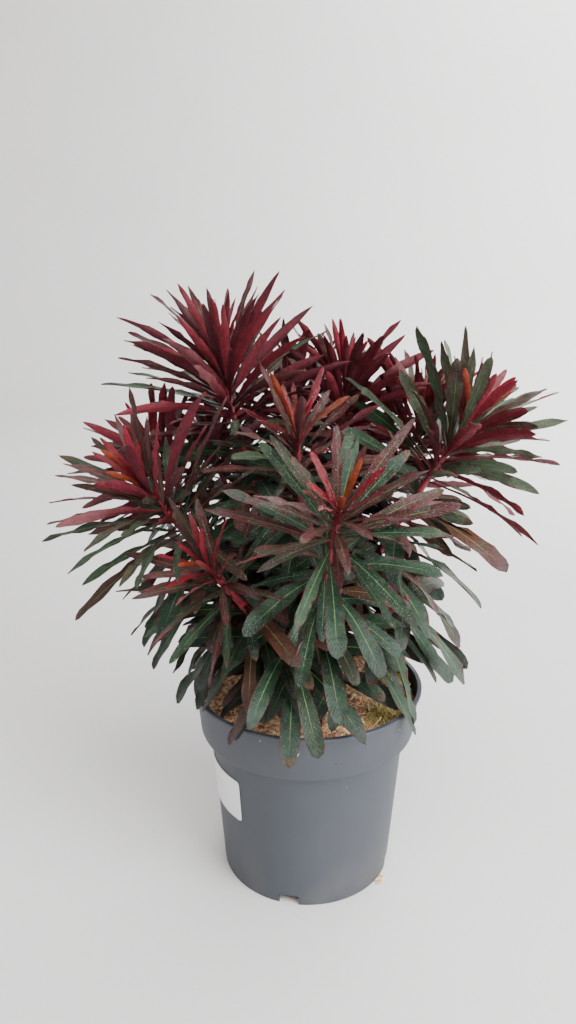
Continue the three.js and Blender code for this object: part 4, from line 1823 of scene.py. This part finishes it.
@dataclass
class Pot:
    """The moulded pot: a body, a shoulder and a collar with a rounded lip, notched at the foot."""

    sides: int = 128
    notch_azimuth: float = -102.6
    notch_width: float = 0.016
    notch_height: float = 0.008
    recess_foot: float = 0.040
    recess_top: float = 0.033
    recess_height: float = 0.0095
    recess_depth: float = 0.0008
    cut_from: float = 0.055
    cut_to: float = 0.085
    cut_below: float = 0.002
    floor: float = 0.0065

    OUTER = ((0.0, 0.0045), (0.0660, 0.0045), (0.0672, 0.0040), (0.0697, 0.0004), (0.0700, 0.0),
             (0.0710, 0.0), (0.0715, 0.0005), BODY_OUTSIDE.top, (0.0813, 0.1230), (0.0881, 0.1280),
             (0.0889, 0.1289), (0.0895, 0.1306), (0.0928, 0.1630), (0.0931, 0.1640),
             (0.0946, 0.1646), (0.0950, 0.1650), (0.0950, 0.1663), (0.0947, 0.1669),
             (0.0941, 0.1670))
    INNER = ((0.0916, 0.1670), (0.0913, 0.1667), COLLAR_INSIDE.foot, (0.0875, 0.1296),
             (0.0867, 0.1288), (0.0799, 0.1236), BODY_INSIDE.top, BODY_INSIDE.foot,
             (0.0696, 0.0065), (0.0, 0.0065))

    def build(self) -> None:
        """Builds the pot with its drain notches cut."""
        wall = PlasticFinish("pot_plastic").make()
        inside = PlasticFinish("pot_inside", tint=(0.016, 0.017, 0.020), dust=(0.035, 0.033, 0.032),
                               specks=0.4, roughness=0.6).make()
        mesh = turned_mesh("pot_body", self.OUTER + self.INNER, self.sides)
        for finish in (wall, inside):
            mesh.materials.append(finish.block)
        self._mark_inside(mesh)
        piece = show("pot_body", mesh)
        cutters = [self._cutter(k, deep) for k in range(4) for deep in (True, False)]
        for cutter in cutters:
            modifier = piece.modifiers.new("cut", "BOOLEAN")
            modifier.operation, modifier.solver, modifier.object = "DIFFERENCE", "EXACT", cutter
        cut = plain_mesh(piece)
        for used in (piece, *cutters):
            bpy.data.objects.remove(used)
        smooth_by_angle(cut, degrees=32)
        cut.name = "pot_body"
        dress(show("pot_body", cut), Slot.POT, ["pot"])

    def _mark_inside(self, mesh: bpy.types.Mesh) -> None:
        """Gives the inner wall and the floor their darker material.

        Args:
            mesh: the pot's mesh.
        """
        for face in mesh.polygons:
            middle, normal = face.center, face.normal
            faces_axis = normal.x * middle.x + normal.y * middle.y < -1e-6
            is_wall = faces_axis and middle.z > self.floor + 0.0001
            is_floor = middle.z < self.floor + 0.0002 and normal.z > 0.5
            face.material_index = int(is_wall or is_floor)

    def _cutter(self, k: int, deep: bool) -> bpy.types.Object:
        """One drain notch or the shallow recess round it, as a solid to take away.

        Args:
            k: number of the notch.
            deep: whether it is the notch.

        Returns:
            The solid, a prism with a trapezium section.
        """
        foot, top, height, near, slope = (
            (self.notch_width, self.notch_width, self.notch_height, self.cut_from, 0.0) if deep
            else (self.recess_foot, self.recess_top, self.recess_height,
                  BODY_OUTSIDE.foot[0] - self.recess_depth, BODY_OUTSIDE.slope))
        low = -self.cut_below
        section = ((-foot / 2, low), (foot / 2, low), (top / 2, height), (-top / 2, height))
        builder = bmesh.new()
        start = [builder.verts.new((near + slope * z, y, z)) for y, z in section]
        end = [builder.verts.new((self.cut_to, y, z)) for y, z in section]
        sides = [(start[i], start[j], end[j], end[i]) for i, j in around(4)]
        for corners in (start, end[::-1], *sides):
            builder.faces.new(corners)
        builder.transform(Matrix.Rotation(math.radians(self.notch_azimuth + 90 * k), 4, "Z"))
        return show("notch_cutter", outward_mesh("notch_cutter", builder))


@dataclass
class Label:
    """A blank paper label stuck round the pot's body."""

    azimuth: float = -162.0
    width: float = 0.076
    foot: float = 0.068
    height: float = 0.038
    corner: float = 0.003
    thickness: float = 0.00025
    clearance: float = 0.00035
    body_radius: float = 0.0775
    unevenness: float = 0.00008

    def build(self) -> None:
        """Builds the label as a thin sheet that follows the body's cone."""
        columns, rows = 40, 20
        points = [self._point(c / columns, r / rows, side) for side in (0, 1)
                  for r in range(rows + 1) for c in range(columns + 1)]
        wide = columns + 1
        size = (rows + 1) * wide
        faces = []
        for a in (r * wide + c for r in range(rows) for c in range(columns)):
            quad = (a, a + 1, a + wide + 1, a + wide)
            faces += [tuple(i + size for i in quad), quad[::-1]]
        rim = [*range(columns), *range(columns, size - 1, wide),
               *range(size - 1, rows * wide, -1), *range(rows * wide, 0, -wide)]
        faces += [(a, b, b + size, a + size) for a, b in zip(rim, rim[1:] + rim[:1])]
        mesh = mesh_of("pot_label_sheet", points, faces)
        mesh.materials.append(PaperFinish().make().block)
        smooth_by_angle(mesh, degrees=40)
        dress(show("pot_label_sheet", mesh), Slot.LABEL, ["pot_label"])

    def _point(self, across: float, up: float, side: int) -> Vector:
        """A point of the sheet.

        Args:
            across: 0 at one end, 1 at the other.
            up: 0 at the foot, 1 at the top.
            side: 0 for the glued face, 1 for the outer one.

        Returns:
            The point.
        """
        x, y = (across - 0.5) * self.width, (up - 0.5) * self.height
        x, y = self._rounded(x, y)
        height = self.foot + self.height / 2 + y
        radius = BODY_OUTSIDE.radius(height) + self.clearance
        radius += side * self.thickness
        radius += self.unevenness * noise.noise(Vector((x, y, side)) * 90.0)
        return round_axis(self.azimuth + math.degrees(x / self.body_radius), radius, height)

    def _rounded(self, x: float, y: float) -> tuple[float, float]:
        """Pulls a point of the rectangle into its rounded corners.

        Args:
            x: place from the middle along the label.
            y: height from the middle.

        Returns:
            The place after it is pulled in.
        """
        inner_x, inner_y = self.width / 2 - self.corner, self.height / 2 - self.corner
        over_x, over_y = abs(x) - inner_x, abs(y) - inner_y
        if over_x <= 0 or over_y <= 0:
            return x, y
        reach = math.hypot(over_x, over_y)
        share = max(over_x, over_y) / reach
        return (math.copysign(inner_x + over_x * share, x),
                math.copysign(inner_y + over_y * share, y))


@dataclass
class Soil:
    """The soil with its wood fibres, chips, straws and moss."""

    top: float = 0.154
    relief: float = 0.0013
    rings: int = 44
    sides: int = 120
    floor: float = 0.0072
    collar_gap: float = 0.0005
    body_gap: float = 0.0006
    bed_gap: float = 0.0015
    bed_steps: int = 56
    chips: float = 230000.0
    flakes: float = 6500.0
    straws: float = 6800.0
    stalks: float = 16000.0
    moss: float = 620000.0

    def build(self) -> None:
        """Builds the soil and everything that lies on it."""
        earth = SoilFinish("soil_earth", light=(0.26, 0.13, 0.065),
                           middle=(0.20, 0.085, 0.038)).make()
        wood = SoilFinish("wood_fibre", scale=600.0).make()
        dress(self._ground(earth), Slot.SOIL, ["soil"])
        bed, chips = self._bed(), self._chip_tree(wood)
        for name, tree, base in (("soil_chips", chips, bed),
                                 ("soil_flakes", self._flake_tree(wood), bed),
                                 ("soil_moss", self._moss_tree(MossFinish().make()), bed),
                                 ("soil_litter", chips, self._litter_bed())):
            dress(tree.grow(name, base), Slot.SOIL)

    def level(self, x: float, y: float) -> float:
        """Height of the soil at a place.

        Args:
            x: place along X.
            y: place along Y.

        Returns:
            The height.
        """
        waves = math.sin(x * 110 + 0.8) * math.cos(y * 130 - 0.4)
        mound = 1.2 * math.exp(-(x * x + y * y) / 0.0018)
        clods = 0.0016 * noise.noise(Vector((x, y, 0.3)) * 95.0)
        clods += 0.0008 * noise.noise(Vector((x, y, 0.7)) * 260.0)
        return self.top + self.relief * (waves + mound) + clods

    def wall(self, height: float) -> float:
        """Radius of the soil's side at a height.

        Args:
            height: the height.

        Returns:
            The radius.
        """
        if height > COLLAR_INSIDE.foot[1]:
            return COLLAR_INSIDE.radius(height) - self.collar_gap
        return BODY_INSIDE.radius(height) - self.body_gap

    def _ground(self, earth: Material) -> bpy.types.Object:
        """The closed body of soil with its uneven top.

        Args:
            earth: its material.

        Returns:
            The piece.
        """
        points = [(0.0, 0.0, self.level(0, 0))]
        for i in range(1, self.rings + 1):
            points += [(x, y, self.level(x, y))
                       for x, y in ring(self.wall(self.top) * (i / self.rings) ** 0.9, self.sides)]
        lower = [(self.wall(0.14), 0.14), (self.wall(0.132) - 0.0004, 0.132), (0.0786, 0.1225),
                 (self.wall(0.02), 0.02), (0.0698, self.floor)]
        for radius, height in lower:
            points += [(x, y, height) for x, y in ring(radius, self.sides)]
        last = len(points) - self.sides
        points.append((0.0, 0.0, self.floor))
        faces = disc_faces(self.rings + len(lower), self.sides)
        faces += [(last + k, len(points) - 1, last + j) for k, j in around(self.sides)]
        mesh = mesh_of("soil_earth", points, faces)
        add_values(mesh, Field.SEED, [0.12 + 0.35 * (0.5 + 0.5 * noise.noise(Vector(p) * 300.0))
                                      for p in points])
        mesh.materials.append(earth.block)
        smooth_by_angle(mesh, degrees=50)
        return show("soil_earth", mesh)

    def _bed(self) -> bpy.types.Mesh:
        """The open top surface that loose bits are strewn on.

        Returns:
            The surface.
        """
        steps, reach = self.bed_steps, self.wall(self.top) - self.bed_gap
        points, index = [], {}
        for i in range(-steps, steps + 1):
            for j in range(-steps, steps + 1):
                x, y = reach * i / steps, reach * j / steps
                if math.hypot(x, y) <= reach:
                    index[i, j] = len(points)
                    points.append((x, y, self.level(x, y)))
        squares = [((i, j), (i + 1, j), (i + 1, j + 1), (i, j + 1)) for i, j in index]
        faces = [tuple(index[corner] for corner in square) for square in squares
                 if all(corner in index for corner in square)]
        return mesh_of("soil_bed", points, faces)

    @staticmethod
    def _litter_bed() -> bpy.types.Mesh:
        """A small patch of the floor at the pot's foot where a few fibres have fallen.

        Returns:
            The patch.
        """
        corners = ((0.0728, -41), (0.0770, -38), (0.0775, -33), (0.0730, -29))
        points = [round_axis(azimuth, radius, 0.0010) for radius, azimuth in corners]
        return mesh_of("litter_bed", points, [(0, 1, 2, 3)])

    @staticmethod
    def _strew(g: Geometry, bit: Sock, density: Sock, tilt: float, small: tuple, large: tuple,
               seed: int, sink: float = 0.0) -> Sock:
        """Strews copies of a bit over the bed with random turns and sizes.

        Args:
            g: the tree.
            bit: the bit.
            density: bits for each square metre.
            tilt: how far a bit may lean, in radians.
            small: the smallest size along each axis.
            large: the largest size along each axis.
            seed: the fixed seed.
            sink: how far they are pushed in.

        Returns:
            The bits.
        """
        points = g.store(g.scatter(density, seed), Field.SEED, g.random(0.0, 1.0, seed + 1))
        turn = g.random((-tilt, -tilt, 0.0), (tilt, tilt, 2 * math.pi), seed + 2, VECTOR)
        size = g.random(small, large, seed + 3, VECTOR)
        copies = g.node("GeometryNodeTranslateInstances", {}, {
            "Instances": g.copies(points, bit, Rotation=turn, Scale=size),
            "Translation": (0.0, 0.0, -sink), "Local Space": False})
        return g.realize(copies)

    @staticmethod
    def _lay(g: Geometry, bit: Sock) -> Sock:
        """Lays an upright bit down along Y."""
        return g.node("GeometryNodeTransform", {},
                      {"Geometry": bit, "Rotation": (math.pi / 2, 0.0, 0.0)})

    def _chip_tree(self, wood: Material) -> Geometry:
        """Short splinters of wood fibre in several sizes.

        Args:
            wood: their material.

        Returns:
            The tree.
        """
        g = Geometry("soil_chips", Density=self.chips, Material=wood)
        bit = g.solid("Cylinder", Vertices=5, Side_Segments=2, Radius=0.5, Depth=1.0)
        x, y, z = g.position().parts()
        bit = self._lay(g, g.move(bit, Position=g.vector(x * (1.1 - z.abs() * 1.2), y * 0.6, z)))
        half = g.input("Density") * 0.5
        fine = self._strew(g, bit, half, 0.5, (0.0006, 0.0022, 0.0004),
                           (0.0014, 0.0064, 0.0010), 11)
        broad = self._strew(g, bit, half, 0.45, (0.0012, 0.0026, 0.0005),
                            (0.0034, 0.0078, 0.0013), 21)
        return g.close(self._join(g, fine, broad))

    def _flake_tree(self, wood: Material) -> Geometry:
        """Larger pale chips and long straws.

        Args:
            wood: their material.

        Returns:
            The tree.
        """
        g = Geometry("soil_flakes", Flakes=self.flakes, Straws=self.straws, Stalks=self.stalks,
                     Material=wood)
        block = g.node("GeometryNodeMeshCube", {}, {"Size": (1.0, 1.0, 1.0), "Vertices X": 3,
                                                    "Vertices Y": 4, "Vertices Z": 2}, "Mesh")
        rough = g.node("ShaderNodeTexNoise", {}, {"Vector": g.position(), "Scale": 2.2}, "Color")
        block = g.move(block, Offset=(rough - (0.5, 0.5, 0.5)) * 0.5)
        flakes = self._strew(g, block, g.input("Flakes"), 0.40, (0.0018, 0.0035, 0.0005),
                             (0.0048, 0.0100, 0.0014), 31)
        flakes = g.store(flakes, Field.SEED, g.random(0.72, 1.0, 33))
        straw = g.solid("Cylinder", Vertices=4, Side_Segments=6, Radius=0.5, Depth=1.0)
        x, y, z = g.position().parts()
        arc = g.vector(x + (z * 3.0).sin() * 9.0, y + z * z * 9.0, z)
        straw = self._lay(g, g.move(straw, Position=arc))
        straws = self._strew(g, straw, g.input("Straws"), 0.45, (0.0003, 0.009, 0.0003),
                             (0.0007, 0.022, 0.0006), 41, sink=-0.0012)
        stalks = self._strew(g, straw, self._moss_arc(g) * g.input("Stalks"), 1.25,
                             (0.0005, 0.010, 0.0005), (0.0010, 0.017, 0.0009), 45, sink=-0.0026)
        straws = g.store(self._join(g, straws, stalks), Field.SEED, g.random(0.65, 1.0, 43))
        return g.close(self._join(g, flakes, straws))

    @staticmethod
    def _moss_arc(g: Geometry) -> Sock:
        """1 along the right-hand side of the pot, 0 elsewhere.

        Args:
            g: the tree.

        Returns:
            The factor at each point.
        """
        x, y, _ = g.position().parts()
        turn = (g.math("ARCTAN2", y, x) + math.radians(8)).abs()
        return (x * x + y * y).sqrt().ramp(0.050, 0.074) * (1 - turn.ramp(0.45, 0.85))

    def _moss_tree(self, moss: Material) -> Geometry:
        """Tufts of moss near the right-hand side of the pot.

        Args:
            moss: their material.

        Returns:
            The tree.
        """
        g = Geometry("soil_moss", Density=self.moss, Material=moss)
        spots = g.node("ShaderNodeTexNoise", {}, {"Vector": g.position(), "Scale": 70.0})
        pick = self._moss_arc(g) * spots.ramp(0.30, 0.52)
        spike = g.solid("Cone", Vertices=4, Side_Segments=2, Radius_Top=0.05, Radius_Bottom=0.5,
                        Depth=1.0)
        spike = g.store(spike, Field.ALONG, g.position().part("Z"))
        return g.close(self._strew(g, spike, pick * g.input("Density"), 0.7,
                                   (0.0007, 0.0007, 0.0026), (0.0015, 0.0015, 0.0062), 51))

    @staticmethod
    def _join(g: Geometry, *parts: Sock) -> Sock:
        """Several geometries as one.

        Args:
            g: the tree.
            parts: the geometries.

        Returns:
            The joined geometry.
        """
        made = g.tree.nodes.new("GeometryNodeJoinGeometry")
        for part in reversed(parts):
            g.tree.links.new(part.link, made.inputs["Geometry"])
        return Sock(g, made.outputs["Geometry"])


# The studio


@dataclass(frozen=True)
class Lamp:
    """A square soft light: where it hangs, its side in metres, its power in watts and its aim."""

    name: str
    at: tuple[float, float, float]
    side: float
    power: float
    tint: tuple[float, float, float] = (1.0, 1.0, 1.0)
    aim: tuple[float, float, float] = (0.0, 0.0, 0.25)

    def hang(self) -> None:
        """Puts the light into the scene."""
        lamp = bpy.data.lights.new(self.name, "AREA")
        lamp.size, lamp.energy, lamp.color = self.side, self.power, self.tint
        holder = bpy.data.objects.new(self.name, lamp)
        holder.location = self.at
        beam = Vector(self.aim) - Vector(self.at)
        holder.rotation_euler = beam.to_track_quat("-Z", "Y").to_euler()
        bpy.context.scene.collection.objects.link(holder)


@dataclass
class Studio:
    """Pale floor that rises softly far round the plant, soft lights and the camera."""

    flat: float = 2.4
    rise: float = 1.2
    wall: float = 4.0
    sky: tuple[float, float, float] = (0.93, 0.96, 1.0)
    sky_strength: float = 0.68
    film: float = 36.0
    photo_height: float = 1024.0
    focal_in_photo: float = 844.0
    pitch: float = 16.67
    camera_at: tuple[float, float, float] = (-0.0162, -0.6384, 0.5044)

    LAMPS = (
        Lamp("key_light", (0.35, -1.1, 2.2), 1.8, 97.0, (1.0, 0.985, 0.965)),
        Lamp("fill_light", (1.2, -1.0, 0.9), 1.2, 62.0, (0.96, 0.98, 1.0)),
        Lamp("back_light", (0.5, 1.6, 2.0), 1.6, 34.0),
        Lamp("wall_light", (1.3, 1.4, 2.4), 1.2, 225.0, aim=(2.2, 3.2, 1.0)),
    )

    def build(self) -> None:
        """Builds the floor, the lights, the world and the camera."""
        self._floor()
        for lamp in self.LAMPS:
            lamp.hang()
        self._world()
        self._camera()

    def _floor(self) -> None:
        """The floor and its far rise in one smooth surface."""
        steps, sides = 12, 96
        outline = [(radius, 0.0) for radius in (0.2, 0.6, 1.2, self.flat)]
        for a in (math.pi / 2 * i / steps for i in range(1, steps + 1)):
            outline.append((self.flat + self.rise * math.sin(a), self.rise * (1 - math.cos(a))))
        outline.append((self.flat + self.rise, self.wall))
        points = [(0.0, 0.0, 0.0)]
        for radius, height in outline:
            points += [(x, y, height) for x, y in ring(radius, sides)]
        mesh = mesh_of("studio_floor", points, disc_faces(len(outline), sides))
        mesh.materials.append(StudioFinish().make().block)
        smooth_by_angle(mesh, degrees=60)
        show("studio_floor", mesh)

    def _world(self) -> None:
        """An even pale sky."""
        world = bpy.data.worlds.new("studio_sky")
        world.use_nodes = True
        sky = world.node_tree.nodes["Background"]
        sky.inputs["Color"].default_value = (*self.sky, 1.0)
        sky.inputs["Strength"].default_value = self.sky_strength
        bpy.context.scene.world = world

    def _camera(self) -> None:
        """The camera at the photograph's viewing angle."""
        lens = bpy.data.cameras.new("camera")
        lens.sensor_width = self.film
        lens.lens = self.focal_in_photo / self.photo_height * self.film
        lens.clip_start, lens.clip_end = 0.02, 30.0
        camera = bpy.data.objects.new("camera", lens)
        camera.location = self.camera_at
        camera.rotation_euler = (math.radians(90 - self.pitch), 0, 0)
        bpy.context.scene.collection.objects.link(camera)
        bpy.context.scene.camera = camera


def main() -> None:
    """Builds the studio, the pot with its label and soil, and the plant."""
    logging.basicConfig(level=logging.INFO, format="%(message)s")
    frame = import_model()
    Studio().build()
    Pot().build()
    Label().build()
    Soil().build()
    Plant().build(frame["nodes"])


if __name__ == "__main__":
    main()
